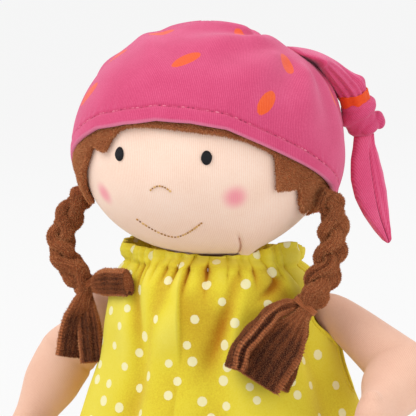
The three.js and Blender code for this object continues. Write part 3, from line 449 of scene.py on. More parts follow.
cheeks = [(over_head(math.radians(t), polar_at(h), 0) * mm, half * mm, 0.78)
          for t, h, half in ((-35.5, -16.2, 7.6), (34.6, -14.4, 8.2))]
skin_finish = jersey_finish("face jersey", "E9BFA6 FCDDC9 FFEFE3", 0.9, cheeks)
head_skin = finished("head_jersey", mesh, skin_finish, "head_skin", body="head", slot="skin_jersey")

# Eyes: small upright ovals of black satin stitch, embroidered through the jersey of the face, thread laid
# beside thread over a low pad.
thread_finish, tree, shader = new_cloth("black thread", 0.55, 0.12, "9090A0")
toned = tones_in(tree, "0B0B0E 18181C 34343E", shade=0.5)
coat(tree, shader, toned.outputs["Color"], toned.outputs["Fuzz"], 0.3, 0.0001)


def with_rings(work, bodies):
    """A work mesh with closed bodies added, each as (rows, start, end)."""
    for rows, start, end in bodies:
        one = ring_mesh("body", rows, start, end)
        work.from_mesh(one)
        bpy.data.meshes.remove(one)
    return work


def mesh_of(name, work):
    whole = bpy.data.meshes.new(name)
    work.to_mesh(whole)
    work.free()
    return smoothly_shaded(whole)


def tube_rows(centres, radii, sides=8, flat_way=None, flatness=1):
    """Rings round a line of centres in mm, round or flattened along a way."""
    centres = np.asarray(centres, dtype=float)
    radii = np.broadcast_to(radii, len(centres))
    ways = unit(np.gradient(centres, axis=0))
    upright = np.broadcast_to(np.array([0.31, 0.52, 0.79]) if flat_way is None else flat_way, centres.shape)
    deep = square_to(ways, upright)
    wide = np.cross(ways, deep)
    angle = turns(sides)
    flatness = np.broadcast_to(flatness, len(centres))
    return sections(centres, wide, deep, radii[:, None] * np.cos(angle),
                    (radii * flatness)[:, None] * np.sin(angle))


def tube(line, radii, sides):
    """A closed round tube along a line: its rings and its two ends."""
    return tube_rows(line, radii, sides), line[0], line[-1]


eye_half_wide, eye_half_high = 2.25, 3.05
for name, side_turn in (("eye_left", 21.6), ("eye_right", -19.3)):
    threads = []
    middle = float(polar_at(3.0))
    for share in np.linspace(-0.93, 0.93, 13):
        reach = math.sqrt(1 - share * share)
        lengths = np.linspace(-1, 1, 13)
        t = math.radians(side_turn) + (share * eye_half_wide + 0.12 * lengths) / head_wide
        p = middle - lengths * reach * eye_half_high / head_up
        over = 0.42 + 0.5 * reach * np.sqrt(np.clip(1 - lengths ** 2, 0, 1))
        centres = over_head(t, p, over)
        radii = 0.24 * np.sqrt(np.clip(1.02 - lengths ** 2, 0.05, 1))
        threads.append(tube(centres, radii, 6))
    drawn_in = np.array([[1], [1], [0.75], [0.4]])
    t = math.radians(side_turn) + np.cos(turns(28)) * eye_half_wide / head_wide * drawn_in
    p = middle - np.sin(turns(28)) * eye_half_high / head_up * drawn_in
    pad = over_head(t, p, np.array([[0.05], [0.3], [0.62], [0.8]]))
    threads.append((pad, pad[0].mean(axis=0), pad[-1].mean(axis=0) + [0, -0.05, 0]))
    mesh = mesh_of(name, with_rings(bmesh.new(), threads))
    finished(name + "_satin", mesh, thread_finish, name, body="head", slot="eye_thread")

# Nose and mouth: rows of small golden-brown running stitches through the jersey. The tool sets one stitch at
# each step along a drawn path.
def new_tool(name, result, *sockets):
    """An empty geometry tool, its inputs given as (label, kind, value), with one mesh as its result."""
    tool = bpy.data.node_groups.new(name, "GeometryNodeTree")
    for label, kind, value in (*sockets, ("Seed", "Int", 1), ("Finish", "Material", None)):
        made = tool.interface.new_socket(label, in_out="INPUT", socket_type="NodeSocket" + kind)
        if value is not None:
            made.default_value = value
    tool.interface.new_socket(result, in_out="OUTPUT", socket_type="NodeSocketGeometry")
    return tool, tool.nodes.new("NodeGroupInput").outputs, tool.nodes.new("NodeGroupOutput").inputs[0]


def scattered(tool, given, points, body, facing, sizes, shades):
    """Real copies of one small body on points, each with its own size and its own shade for the material."""
    size, shade = (place(tool, "FunctionNodeRandomValue", {2: low, 3: high, "Seed": given["Seed"]},
                         data_type="FLOAT").outputs[1] for low, high in (sizes, shades))
    copies = place(tool, "GeometryNodeInstanceOnPoints", {
        "Points": points, "Instance": body, "Rotation": facing, "Scale": size})
    kept = place(tool, "GeometryNodeStoreNamedAttribute", {
        "Geometry": copies.outputs[0], "Name": "tuft", "Value": shade}, data_type="FLOAT", domain="INSTANCE")
    return place(tool, "GeometryNodeRealizeInstances", {0: kept.outputs[0]}).outputs[0]


def set_finish(tool, mesh, given, result):
    coloured = place(tool, "GeometryNodeSetMaterial", {"Geometry": mesh, "Material": given["Finish"]})
    tool.links.new(coloured.outputs[0], result)


stitching, given, result = new_tool(
    "running stitches", "Stitches", ("Path", "Geometry", None), ("Step", "Float", 0.002),
    ("Stitch length", "Float", 0.0014), ("Thread", "Float", 0.0003))
line = place(stitching, "GeometryNodeMeshToCurve", {0: given["Path"]})
steps = place(stitching, "GeometryNodeResampleCurve", {"Curve": line.outputs[0], "Length": given["Step"]},
              mode="LENGTH")
grain = place(stitching, "GeometryNodeMeshUVSphere", {"Segments": 8, "Rings": 6, "Radius": 0.5})
size = place(stitching, "ShaderNodeCombineXYZ",
             {0: given["Stitch length"], 1: given["Thread"], 2: given["Thread"]})
grain = place(stitching, "GeometryNodeTransform", {"Geometry": grain.outputs[0], "Scale": size.outputs[0]})
way = place(stitching, "GeometryNodeInputTangent")
facing = place(stitching, "FunctionNodeAlignRotationToVector", {"Vector": way.outputs[0]}, axis="X")
real = scattered(stitching, given, steps.outputs[0], grain.outputs[0], facing.outputs[0], (0.8, 1.15),
                 (0.0, 1.0))
round_off = place(stitching, "GeometryNodeSetShadeSmooth", {"Geometry": real})
set_finish(stitching, round_off.outputs[0], given, result)


def taken_off(carrier):
    """The plain mesh that a carrier's modifiers make. The carrier goes."""
    graph = bpy.context.evaluated_depsgraph_get()
    result = bpy.data.meshes.new_from_object(
        carrier.evaluated_get(graph), preserve_all_data_layers=True, depsgraph=graph)
    bpy.data.objects.remove(carrier)
    return result


def grown(tool, base, **inputs):
    """The plain mesh that a geometry tool makes of a base mesh."""
    carrier = bpy.data.objects.new("growing", base)
    scene.collection.objects.link(carrier)
    modifier = carrier.modifiers.new("tool", "NODES")
    modifier.node_group = tool
    wanted = {label.replace("_", " ").capitalize(): value for label, value in inputs.items()}
    for item in tool.interface.items_tree:
        if item.in_out == "INPUT" and item.name in wanted:
            modifier[item.identifier] = wanted[item.name]
    return taken_off(carrier)


def path_mesh(points, closed=False):
    """A drawn path, in metres, through points in mm."""
    drawn = bpy.data.meshes.new("path")
    count = len(points)
    edges = [(i, (i + 1) % count) for i in range(count if closed else count - 1)]
    drawn.from_pydata((np.asarray(points) * mm).tolist(), edges, [])
    return drawn


def stitches_on(points, finish, step, length, thick, seed, closed=False):
    """Running stitches along a line of points, their sizes in mm."""
    return grown(stitching, path_mesh(points, closed), step=step * mm, stitch_length=length * mm,
                 thread=thick * mm, seed=seed, finish=finish)


def thread_tones(name, tones):
    """Sewing thread, each stitch a little lighter or darker than the next."""
    finish, tree, shader = new_cloth(name, 0.6, 0.15, "FFE8D0")
    one = noted(tree, "tuft")
    toned = tones_in(tree, tones, shade=one, speck_size=2600.0)
    coat(tree, shader, toned.outputs["Color"], toned.outputs["Fuzz"], 0.2, 0.0001)
    return finish


brown_thread = thread_tones("golden brown thread", "80542A B8873F DDB776")
share = np.linspace(-1, 1, 40)
nose_line = over_head(math.radians(0.7) + math.radians(4.6) * share, polar_at(-11.6 + 2 * (1 - share ** 2)),
                      0.3)
mesh = stitches_on(nose_line, brown_thread, 1.25, 1.1, 0.8, 4)
finished("nose_stitches", mesh, brown_thread, "nose_stitching", body="head", slot="brown_thread")
mouth_height = -26.2 - 7.5 * (1 - np.abs(share) ** 1.8)
mouth_line = over_head(math.radians(0.6) + math.radians(18.3) * share, polar_at(mouth_height), 0.28)
mesh = stitches_on(mouth_line, brown_thread, 1.5, 1.3, 0.85, 9)
finished("mouth_stitches", mesh, brown_thread, "mouth_stitching", body="head", slot="brown_thread")

dart_thread = thread_tones("reddish thread", "9A5038 C07C60 DCA08A")
dart_polar = np.linspace(2.36, 2.62, 30)
dart_bearing = dart_turn + (dart_polar - 2.3) * dart_slope
dart_line = over_head(dart_bearing, dart_polar, jaw_swell(dart_bearing, dart_polar) - 0.35)
mesh = stitches_on(dart_line, dart_thread, 0.55, 0.75, 0.34, 2)
finished("chin_dart_seam", mesh, dart_thread, body="head", slot="brown_thread")

# Hair: short brown plush sewn over the head. Its edge is cut into a fringe and pointed locks beside the face,
# and its pile stands below the cap's hem and lies pressed flat under the cap.
hair_edge = np.array([
    [-1, -0.57], [-0.917, -0.57], [-0.833, -0.57], [-0.75, -0.555], [-0.667, -0.52], [-0.6, -0.48],
    [-0.53, -0.44], [-0.47, -0.42], [-0.41, -0.38], [-0.355, -0.42], [-0.31, -0.31], [-0.262, -0.17],
    [-0.225, -0.036], [-0.198, 0.083], [-0.172, 0.055], [-0.148, 0.045], [-0.133, 0.14], [-0.111, 0.22],
    [-0.073, 0.255], [-0.03, 0.262], [0.015, 0.26], [0.078, 0.24], [0.153, 0.213], [0.2, 0.175],
    [0.247, 0.124], [0.27, 0.09], [0.289, 0.045], [0.292, -0.075], [0.299, -0.212], [0.33, -0.21],
    [0.367, -0.204], [0.388, -0.325], [0.427, -0.432], [0.46, -0.385], [0.53, -0.42], [0.6, -0.47],
    [0.667, -0.52], [0.75, -0.555], [0.833, -0.57], [0.917, -0.57], [1, -0.57],
])
hem_shares = np.array([0.325, 0.293, 0.227, 0.087, -0.055, -0.19, -0.323, -0.42, -0.49, -0.53, -0.56, -0.575,
                       -0.58])
hair_pressed, hair_over = 1.94, 2.9


def wrapped(turn):
    return np.arctan2(np.sin(turn), np.cos(turn))


def hem_height(turn):
    """The height of the cap's hem over the head's middle."""
    place_share = np.abs(wrapped(turn)) / math.pi * (len(hem_shares) - 1)
    raised = 5.5 * hump(wrapped(turn + 0.95), 0, 0.5) - 5.5 * hump(wrapped(turn - 2.1), 0, 0.42)
    return (np.interp(place_share, np.arange(len(hem_shares)), hem_shares) * head_wide + 4.5 * np.sin(turn)
            + raised)


piling, given, result = new_tool(
    "standing pile", "Plush", ("Cloth", "Geometry", None), ("Density", "Float", 2e6),
    ("Tuft length", "Float", 0.0014), ("Tuft radius", "Float", 0.0003), ("Lean", "Float", 0.5))
where = place(piling, "GeometryNodeInputNamedAttribute", {"Name": "pile"}, data_type="FLOAT")
roots = place(piling, "GeometryNodeDistributePointsOnFaces", {
    "Mesh": given["Cloth"], "Density": calc(piling, "MULTIPLY", given["Density"], where.outputs[0]),
    "Seed": given["Seed"]}, distribute_method="RANDOM")
fibre = place(piling, "GeometryNodeMeshCone", {
    "Vertices": 3, "Radius Top": 0.0, "Radius Bottom": given["Tuft radius"], "Depth": given["Tuft length"]},
    fill_type="NONE")
tilt = place(piling, "FunctionNodeRandomValue", {
    0: calc(piling, "MULTIPLY", given["Lean"], -1.0), 1: given["Lean"], "Seed": given["Seed"]},
    data_type="FLOAT_VECTOR")
tilted = place(piling, "FunctionNodeEulerToRotation", {0: tilt.outputs[0]})
facing = place(piling, "FunctionNodeRotateRotation", {0: roots.outputs["Rotation"], 1: tilted.outputs[0]},
               rotation_space="LOCAL")
tufts = scattered(piling, given, roots.outputs["Points"], fibre.outputs[0], facing.outputs[0], (0.6, 1.3),
                  (0.3, 1.0))
ground = place(piling, "GeometryNodeStoreNamedAttribute", {
    "Geometry": given["Cloth"], "Name": "tuft", "Value": 0.3}, data_type="FLOAT", domain="POINT")
both = place(piling, "GeometryNodeJoinGeometry")
piling.links.new(ground.outputs[0], both.inputs[0])
piling.links.new(tufts, both.inputs[0])
set_finish(piling, both.outputs[0], given, result)


def plush_finish(name, tones):
    """Plush: dark at its roots, each tuft a little lighter or darker, its cut edges ribbed like the knit; its
    ribs note also carries painted shade.
    """
    finish, tree, shader = new_cloth(name, 0.85, 0.4, "E9B98C")
    one = noted(tree, "tuft")
    # The ribs note holds the cut edges' pale ribs and also painted shade: in the slits of the braids and on
    # the hair pressed under the cap.
    edge = noted(tree, "ribs")
    loops = group_in(tree, knit, rib_width=1.5, loop_height=1.2, wander=0.5)
    lined = calc(tree, "MULTIPLY_ADD", loops.outputs["Rib"], 0.16,
                 calc(tree, "MULTIPLY_ADD", edge, 0.4, 0.12))
    shade = calc(tree, "MULTIPLY_ADD", one, 0.5, lined)
    toned = tones_in(tree, tones, shade=shade, patch_size=130.0, speck_size=1800.0)
    coat(tree, shader, toned.outputs["Color"],
         calc(tree, "MULTIPLY_ADD", loops.outputs["Rib"], 0.6, toned.outputs["Fuzz"]), 0.6, 0.0005)
    return finish


plush = plush_finish("brown plush", "431A0C AE643A DDA370")
hair_columns = 320
turn_at = turns(hair_columns) - math.pi
edge_height = np.interp(turn_at / math.pi, hair_edge[:, 0], hair_edge[:, 1]) * head_wide
edge_height += (1.3 * smooth(0.31, 0.24, np.abs(turn_at / math.pi))
                + 0.25 * ripple(8, 2.6, turn_at * head_wide))
hem_polar = polar_at(hem_height(turn_at), hair_over)
last_polar = np.maximum(polar_at(edge_height, hair_over), hem_polar + 0.012)
covered = (hem_polar - 3 / head_wide) * np.linspace(0.06, 1, 22)[:, None]
standing = hem_polar + (last_polar - hem_polar) * np.linspace(0, 1, 12)[:, None]
tip = last_polar + np.array([[0.006], [0.008], [0.004]])
outer = np.concatenate([
    over_head(turn_at, covered, hair_pressed - 0.85 * (1 - smooth(0.75, 1.05, covered))),
    over_head(turn_at, standing, hair_over + 0.25 * ripple(5, 9, turn_at * head_wide, standing * head_wide)),
    over_head(turn_at, tip, np.array([[2.3], [1.4], [0.6]])),
])
inner = np.concatenate([over_head(turn_at, standing[::-2], 0.5), over_head(turn_at, covered[::-3], 0.5)])
mesh = ring_mesh("hair", np.concatenate([outer, inner]), over_head(0, 0, hair_pressed - 0.85),
                 over_head(0, 0, 0.5))
pile = np.zeros(len(mesh.vertices))
pile[21 * hair_columns:36 * hair_columns] = 1
note(mesh, "pile", pile)
# Painted shade on the flat hair under the cap, where no tufts stand to shade it
note(mesh, "ribs", 0.6 * pile - 0.6)
mesh = grown(piling, mesh, density=7e6, tuft_length=0.85 * mm, tuft_radius=0.2 * mm, lean=0.45, seed=21,
             finish=plush)
hair = finished("plush_hair", mesh, plush, "hair", body="head", slot="hair_plush")

# Cap: raspberry cotton jersey with a plain pattern of slanted ovals, its hem turned up and topstitched, its
# crown drawn together behind the doll's left side.
pressed_under, standing_under, cap_cloth = 2.94, 5.24, 0.7
gather_turn, gather_polar = math.radians(105), float(polar_at(45, 3.24))
cap_columns, cap_rows, cap_fine_rows = 320, 118, 40
crown_radius, topstitch_up = 62, 6.5


def cap_off(polar, turn=math.pi):
    """How far the cap's outside stands off the head: close on crown and right temple."""
    eased = (smooth(math.radians(34), math.radians(54.4), polar)
             * (1 - 0.95 * hump(wrapped(turn + 1.3), 0, 0.6)))
    return pressed_under + (standing_under - pressed_under) * eased + cap_cloth


def towards(turn, polar):
    return standing_ring(turn, np.sin(polar), np.sin(polar), np.cos(polar))


gather_way = towards(gather_turn, gather_polar)
level_way = unit(np.cross([0, 0, 1], gather_way))
rising_way = np.cross(gather_way, level_way)


def cap_folds(turn, polar, from_hem):
    """The cap's soft folds in mm: drawn towards the gather, slack at the back, puckered by topstitching."""
    way = towards(turn, polar)
    far = np.arccos(np.clip(way @ gather_way, -1, 1))
    bearing = np.arctan2(way @ level_way, way @ rising_way)
    drawn = np.cos(9 * bearing + 0.8) + 0.5 * np.cos(5 * bearing - 1.2)
    folds = 1.15 * drawn * smooth(0.2, 0.4, far) * (1 - smooth(0.5, 1.15, far))
    folds = folds + 1.9 * hump(far, 0.62, 0.2) * hump(wrapped(bearing - 0.75), 0, 0.3)
    folds = (folds
             - 1.6 * hump(wrapped(bearing - 0.4), 0, 0.13) * smooth(0.2, 0.4, far)
             * (1 - smooth(0.6, 1.0, far)))
    slack = (3.0 * hump(wrapped(turn + 1.62), 0, 0.15) * hump(polar, 0.92, 0.17)
             - 1.3 * hump(wrapped(turn + 1.3), 0, 0.1) * hump(polar, 0.95, 0.3))
    slack = slack + 1.2 * hump(wrapped(turn + 2.6), 0, 0.4) * hump(polar, 0.45, 0.16)
    place_x, place_y = 60 * way[..., 0], 60 * way[..., 1]
    slack = slack + 1.8 * hump(place_x, 28, 5) * hump(place_y, -4, 16) * hump(polar, 0.6, 0.3)
    slack = slack - 2.4 * hump(place_x, 22, 2.6) * hump(place_y, 4, 12) * hump(polar, 0.45, 0.3)
    slack = (slack + 1.1 * hump(place_x + 0.5 * place_y, -30, 5) * hump(polar, 0.55, 0.3)
             - 0.8 * hump(place_x + 0.5 * place_y, -22, 4) * hump(polar, 0.5, 0.3))
    stitched = -0.55 * hump(from_hem, topstitch_up, 0.7)
    pucker = 0.28 * ripple(12, 3.4, turn * head_wide, turn * 3) * hump(from_hem, 8.2, 2.4)
    belly = 0.35 * smooth(0.2, 1.5, from_hem) * (1 - smooth(4.8, 6.4, from_hem))
    return (folds + slack + stitched + pucker + belly
            + 0.3 * ripple(17, 60, turn * head_wide, polar * head_wide))


turn_at = turns(cap_columns) - math.pi
hem_polar = polar_at(hem_height(turn_at), standing_under)
share = np.concatenate([np.linspace(0.02, 0.86, cap_rows - cap_fine_rows),
                        np.linspace(0.865, 1, cap_fine_rows)])[:, None]
polar_of = hem_polar * share
from_hem = (hem_polar - polar_of) * head_wide
rolled = 0.8 * (1 - np.sqrt(np.clip(1 - (1 - np.clip(from_hem / 0.9, 0, 1)) ** 2, 0, 1)))
outside = np.maximum(cap_off(polar_of, turn_at) + cap_folds(turn_at[None, :], polar_of, from_hem) - rolled,
                     2.0)
wall = 0.75 + 0.75 * (1 - smooth(5.6, 6.6, from_hem))
outer = over_head(turn_at, polar_of, outside)
inner = over_head(turn_at, polar_of,
                  np.minimum(outside, cap_off(polar_of, turn_at) + 1.2) - wall + rolled * 0.6)
mesh = ring_mesh("cap", np.concatenate([outer, inner[::-2]]), over_head(0, 0, cap_off(0)),
                 over_head(0, 0, cap_off(0) - 0.7))
at = at_points(mesh) - head_at
turn = np.arctan2(at[:, 0] / head_wide, -at[:, 1] / head_deep)
polar = np.arccos(np.clip(at[:, 2] / np.linalg.norm(at, axis=1), -1, 1))
around = crown_radius * np.sin(np.clip(polar, 0.03, math.pi - 0.03)) ** 0.75
lay_cloth(mesh, turn * around, polar * 60, full_turn * around)

# Plain slanted ovals, printed in a loose half-drop layout: their middles lie on the crown in listed rows
oval_rng = np.random.default_rng(40)
oval_half_long, oval_half_wide, oval_from_hem = 7.6, 3.3, 17
ovals = []
for polar_middle, count, start_turn in ((20, 3, 70), (45, 5, 8), (66, 7, 52), (92, 4, 175)):
    for i in range(count):
        t = math.radians(start_turn + (360 if polar_middle < 80 else 120) / count * i
                         + oval_rng.uniform(-6, 6))
        p = math.radians(polar_middle + oval_rng.uniform(-3, 3))
        slope, size = math.radians(52 + oval_rng.uniform(-12, 12)), oval_rng.uniform(0.9, 1.15)
        if float(polar_at(hem_height(t), standing_under)) - p > oval_from_hem / head_wide:
            ovals.append((towards(t, p), slope, size))


def print_depth(places):
    """How deep each point of the cap lies inside its nearest oval, in mm, below nought outside."""
    ways = unit(places)
    best = np.full(len(ways), -9.0)
    for middle, slope, size in ovals:
        across = unit(np.cross([0.02, 0.01, 1], middle))
        upwards = np.cross(middle, across)
        x, y = ways @ across * crown_radius, ways @ upwards * crown_radius
        long_way = x * math.cos(slope) + y * math.sin(slope)
        short_way = y * math.cos(slope) - x * math.sin(slope)
        off = np.sqrt((long_way / (oval_half_long * size)) ** 2 + (short_way / (oval_half_wide * size)) ** 2)
        inside = (1 - off) * oval_half_wide
        best = np.where(ways @ middle > 0.5, np.maximum(best, inside), best)
    return best


note(mesh, "printed", print_depth(at))
note(mesh, "hem", np.concatenate([from_hem.ravel(), from_hem[::-2].ravel(), [90, 90]]))


def cap_finish(name, printed=False):
    """Raspberry jersey with fine ribs and a painted highlight on them; printed, it also gets a painted
    highlight along its rolled hem.
    """
    finish, tree, shader = new_cloth(name, 0.88, 0.5, "FFB8D4")
    loops = group_in(tree, knit, rib_width=0.85, loop_height=0.7, wander=1.2)
    shade = calc(tree, "MULTIPLY_ADD", loops.outputs["Rib"], 0.22, 0.38)
    toned = tones_in(tree, "A82650 D34674 F27FA6", shade=shade, patch_size=45.0, speck_size=1500.0)
    colour = toned.outputs["Color"]
    if printed:
        depth = noted(tree, "printed")
        ragged = calc(tree, "MULTIPLY_ADD", calc(tree, "SUBTRACT", toned.outputs["Fuzz"], 0.5), 0.5, depth)
        ink = place(tree, "ShaderNodeMapRange", {0: ragged, 1: -0.12, 2: 0.16})
        dyed = tones_in(tree, "C9420E EE5A1C F98A4C", shade=shade, patch_size=45.0, speck_size=1500.0)
        colour = mix_tone(tree, ink.outputs[0], colour, dyed.outputs["Color"])
        # Painted highlight along the rolled hem's edge
        edge = noted(tree, "hem")
        rim = place(tree, "ShaderNodeMapRange", {0: edge, 1: 0.2, 2: 1.3, 3: 0.45, 4: 0.0})
        colour = mix_tone(tree, rim.outputs[0], colour, linear("F5A3C2"))
    relief = calc(tree, "MULTIPLY_ADD", toned.outputs["Fuzz"], 0.4, loops.outputs["Height"])
    coat(tree, shader, colour, relief, 0.45, 0.00014)
    return finish


cap_print = cap_finish("printed cap jersey", printed=True)
cap_plain = cap_finish("plain cap jersey")
crown = finished("cap_jersey_crown", mesh, cap_print, "cap_crown", body="cap", slot="cap_jersey")

hem_line_turns = np.linspace(-math.pi, math.pi, 420, endpoint=False)
line_polar = polar_at(hem_height(hem_line_turns), standing_under) - topstitch_up / head_wide
folds = cap_folds(hem_line_turns, line_polar, np.full(len(line_polar), topstitch_up))
lift = cap_off(line_polar, hem_line_turns) + folds + 0.12
topstitch_thread = thread_tones("pink thread", "9C2650 D9557F F290AC")
hem_line = over_head(hem_line_turns, line_polar, lift)
mesh = stitches_on(hem_line, topstitch_thread, 2.1, 1.6, 0.5, 3, closed=True)
finished("cap_topstitching", mesh, topstitch_thread, body="cap", slot="cap_jersey")

# Tail: the crown's own jersey drawn together into a flap that lies on the crown and narrows into pleats at
# its neck, where the ribbon holds it.
tail_turn = math.radians(118)
tail_at = np.array([55.2, 22.1, 180.9])
tail_down = np.array([0.171, 0.302, -0.938])
tail_out = np.array([math.sin(tail_turn), -math.cos(tail_turn), 0])
tail_wide = unit(np.cross(tail_down, tail_out))
tail_deep = np.cross(tail_down, tail_wide)


def smooth_line(points, count):
    """Evenly spaced places on a smooth line through points, and the ways it runs there."""
    points = np.asarray(points, dtype=float)
    points = np.vstack([2 * points[0] - points[1], points, 2 * points[-1] - points[-2]])
    dense = []
    for a, b, c, d in zip(points, points[1:], points[2:], points[3:]):
        spans = [max(np.linalg.norm(q - p), 1e-6) ** 0.5 for p, q in ((a, b), (b, c), (c, d))]
        knots = np.cumsum([0] + spans)
        t = np.linspace(knots[1], knots[2], 60, endpoint=False)[:, None]

        def between(p, q, low, high):
            return p * (high - t) / (high - low) + q * (t - low) / (high - low)

        ab, bc, cd = (between(p, q, knots[i], knots[i + 1])
                      for i, (p, q) in enumerate(((a, b), (b, c), (c, d))))
        abc, bcd = between(ab, bc, knots[0], knots[2]), between(bc, cd, knots[1], knots[3])
        dense.append(between(abc, bcd, knots[1], knots[2]))
    dense = np.vstack(dense + [points[-2][None]])
    run = run_along(dense)
    at = np.linspace(0, run[-1], count)
    line = np.stack([np.interp(at, run, dense[:, i]) for i in range(3)], axis=-1)
    ways = np.gradient(line, axis=0)
    return line, unit(ways)


def swept(line, ways, wide_way, half_wide, half_deep, sides):
    """Oval rings along a line, broad along one way."""
    wide = square_to(ways, wide_way)
    deep = np.cross(ways, wide)
    angle = turns(sides)
    rows = sections(line, wide, deep, half_wide[:, None] * np.cos(angle), half_deep[:, None] * np.sin(angle))
    return rows, angle


gather_root, gather_middle = np.array([31, 8, 202.5]), np.array([39.7, 15.7, 198.4])
neck_top = tail_at + np.array([-5.8, -2.4, 8.1])
gather_rows, gather_sides, gather_round, gather_long = 72, 112, 70, 48
line, ways = smooth_line([gather_root, gather_middle, neck_top, tail_at, tail_at + tail_down * 2.5],
                         gather_rows)
share = np.linspace(0, 1, gather_rows)
half_wide = np.interp(share, [0, 0.12, 0.3, 0.55, 0.76, 1], [11, 18, 20, 13, 7, 5.9])
half_deep = np.interp(share, [0, 0.15, 0.3, 0.5, 0.7, 0.85, 1], [1.2, 2.2, 3.2, 4.6, 5.8, 6.4, 6.0])
rows, angle = swept(line, ways, np.cross(tail_out, [0, 0, 1]), half_wide, half_deep, gather_sides)
middle = line[:, None]
spoke = rows - middle
drawn = smooth(0.3, 0.8, share)[:, None]
ear_turn = float(angle[np.argmax((spoke[58] @ (tail_out + [0, 0, 0.6])))])
pleat = 1 + drawn * (0.085 * np.cos(11 * angle + 0.6 * np.sin(2 * angle)) + 0.05 * np.cos(5 * angle + 1))
fold = (1 + 0.1 * hump(wrapped(angle - 0.6), 0, 0.3) * (1 - drawn)
        - 0.12 * hump(wrapped(angle - 1.2), 0, 0.22) * smooth(0.1, 0.4, share)[:, None])
rows = middle + spoke * (pleat * fold)[..., None]
rows += 0.35 * ripple(31, 16, rows[..., 0], rows[..., 1], rows[..., 2])[..., None] * tail_out
ear = hump(share, 0.82, 0.09)[:, None] * hump(wrapped(angle - ear_turn), 0, 0.75)
rows += (ear * (2.2 + 0.6 * np.cos(13 * angle)))[..., None] * unit(spoke)
mesh = ring_mesh("gather", rows, line[0] + (line[0] - line[1]) * 2, line[-1])
around = np.append(np.tile(angle / full_turn * gather_round, gather_rows), [gather_round / 2] * 2)
down = np.append(np.repeat(share * gather_long, gather_sides), [0, gather_long])
lay_cloth(mesh, around, down, gather_round)
gather = finished("cap_gathered_cloth", mesh, cap_plain, "cap_gather", body="cap", slot="cap_jersey")

# Ribbon: a flat woven orange tape, wound once round the tail's neck and sewn to itself, its edges a little
# raised.
ribbon_finish, tree, shader = new_cloth("orange tape", 0.75, 0.35, "FFC9A0")
loops, toned = knitted_tones(tree, "C23408 F04E16 FB8044", 0.55, 0.55, 0.2, 0.2, 0.38, patch_size=70.0)
coat(tree, shader, toned.outputs["Color"], loops.outputs["Height"], 0.4, 0.0001)
tape_high, tape_in, tape_out = 6.6, 6.1, 6.8
along = np.linspace(-1, 1, 15)
tape_columns, tape_round = 120, 7
angle = turns(tape_columns)
slip = 0.9 * np.cos(angle + 0.4)
tape_wave = 0.22 * np.cos(5 * angle + 1) + 0.12 * np.cos(9 * angle)


def tape_ring(place_down, radius):
    down = (place_down * tape_high / 2 + slip)[:, None] * tail_down
    return (tail_at + down
            + radius[:, None] * (np.cos(angle)[:, None] * tail_wide + np.sin(angle)[:, None] * tail_deep))


rows = [tape_ring(a, tape_out + tape_wave + 0.16 * smooth(0.7, 1, abs(a)) - 0.3 * smooth(0.93, 1, abs(a)))
        for a in along]
rows += [tape_ring(a, tape_in + tape_wave) for a in along[::-2]]
mesh = ring_mesh("ribbon", rows, ring=True)
down = np.repeat(np.concatenate([along, along[::-2]]) * tape_high / 2, tape_columns)
lay_cloth(mesh, np.tile(angle * tape_round, len(rows)), down, full_turn * tape_round)
tape = finished("cap_ribbon", mesh, ribbon_finish, "cap_band", body="cap", slot="ribbon")

# Knot: the same jersey tied over itself below the ribbon, with slanting wraps and one loop standing out at
# the side.
knot_top, knot_high = 2.8, 16.5


def melted(name, work, voxel, rounds):
    """A closed, smoothed copy of the bodies in a work mesh, with small cells of one size."""
    whole = mesh_of(name, work)
    carrier = bpy.data.objects.new(name, whole)
    scene.collection.objects.link(carrier)
    remesh = carrier.modifiers.new("cells", "REMESH")
    remesh.mode, remesh.voxel_size = "VOXEL", voxel * mm
    even = carrier.modifiers.new("even", "SMOOTH")
    even.factor, even.iterations = 0.5, rounds
    result = taken_off(carrier)
    bpy.data.meshes.remove(whole)
    return smoothly_shaded(result)


def push(mesh, distances):
    """Moves each point of a mesh along its normal by a distance in mm."""
    moved = at_points(mesh) + read(mesh.vertex_normals, "vector", 3) * np.asarray(distances)[:, None]
    mesh.vertices.foreach_set("co", (moved * mm).ravel())
    mesh.update()


def on_tail(down, wide, deep):
    """A place by the tail: below its neck, across it, and towards its back."""
    return tail_at + down * tail_down + wide * tail_wide + deep * tail_deep


share = np.linspace(0, 1, 40)
core_line = np.array([on_tail(knot_top - 1.5 + knot_high * s, 0.4 * math.sin(5 * s), 0) for s in share])
core_radii = np.interp(share, [0, 0.12, 0.5, 0.85, 1], [5.8, 7.2, 7.6, 6.6, 4.8])
tubes = [tube(core_line, core_radii, 28)]
for offset, start, sweep, drop, thick in ((6.1, -2.4, 4.6, 5.8, 3.1), (6.4, 0.2, 4.4, 4.6, 3.3),
                                          (5.6, 2.6, 3.9, 4.2, 3.0)):
    s = np.linspace(0, 1, 44)
    angle = start + sweep * s
    depth = knot_top + 2.2 + (start + 2.4) / 5 * 7.2 + drop * (s - 0.3)
    wrap = np.array([on_tail(d, offset * math.cos(a), offset * math.sin(a)) for a, d in zip(angle, depth)])
    tubes.append(tube(wrap, thick * np.sqrt(np.clip(1 - (2 * s - 1) ** 6, 0.05, 1)), 20))
loop_at = tail_at + (knot_top + knot_high * 0.52) * tail_down + tail_out * 6.2
s = np.linspace(0, 1, 30)
loop_line = np.array([loop_at + tail_out * 1.5 * math.sin(math.pi * v) + tail_down * 7.0 * (v - 0.5)
                      for v in s])
tubes.append(tube(loop_line, 3.8 * np.sqrt(np.clip(1 - (2 * s - 1) ** 4, 0.05, 1)), 20))
mesh = melted("knot", with_rings(bmesh.new(), tubes), 0.42, 2)
at = at_points(mesh)
push(mesh, 0.16 * ripple(51, 3.5, *at.T))
at = at_points(mesh) - tail_at
angle = np.arctan2(at @ tail_deep, at @ tail_wide)
knot_round = 8
lay_cloth(mesh, angle * knot_round + (at @ tail_down) * 0.5, at @ tail_down, full_turn * knot_round)
finished("cap_tied_knot", mesh, cap_plain, "cap_knot", body="cap", slot="cap_jersey")

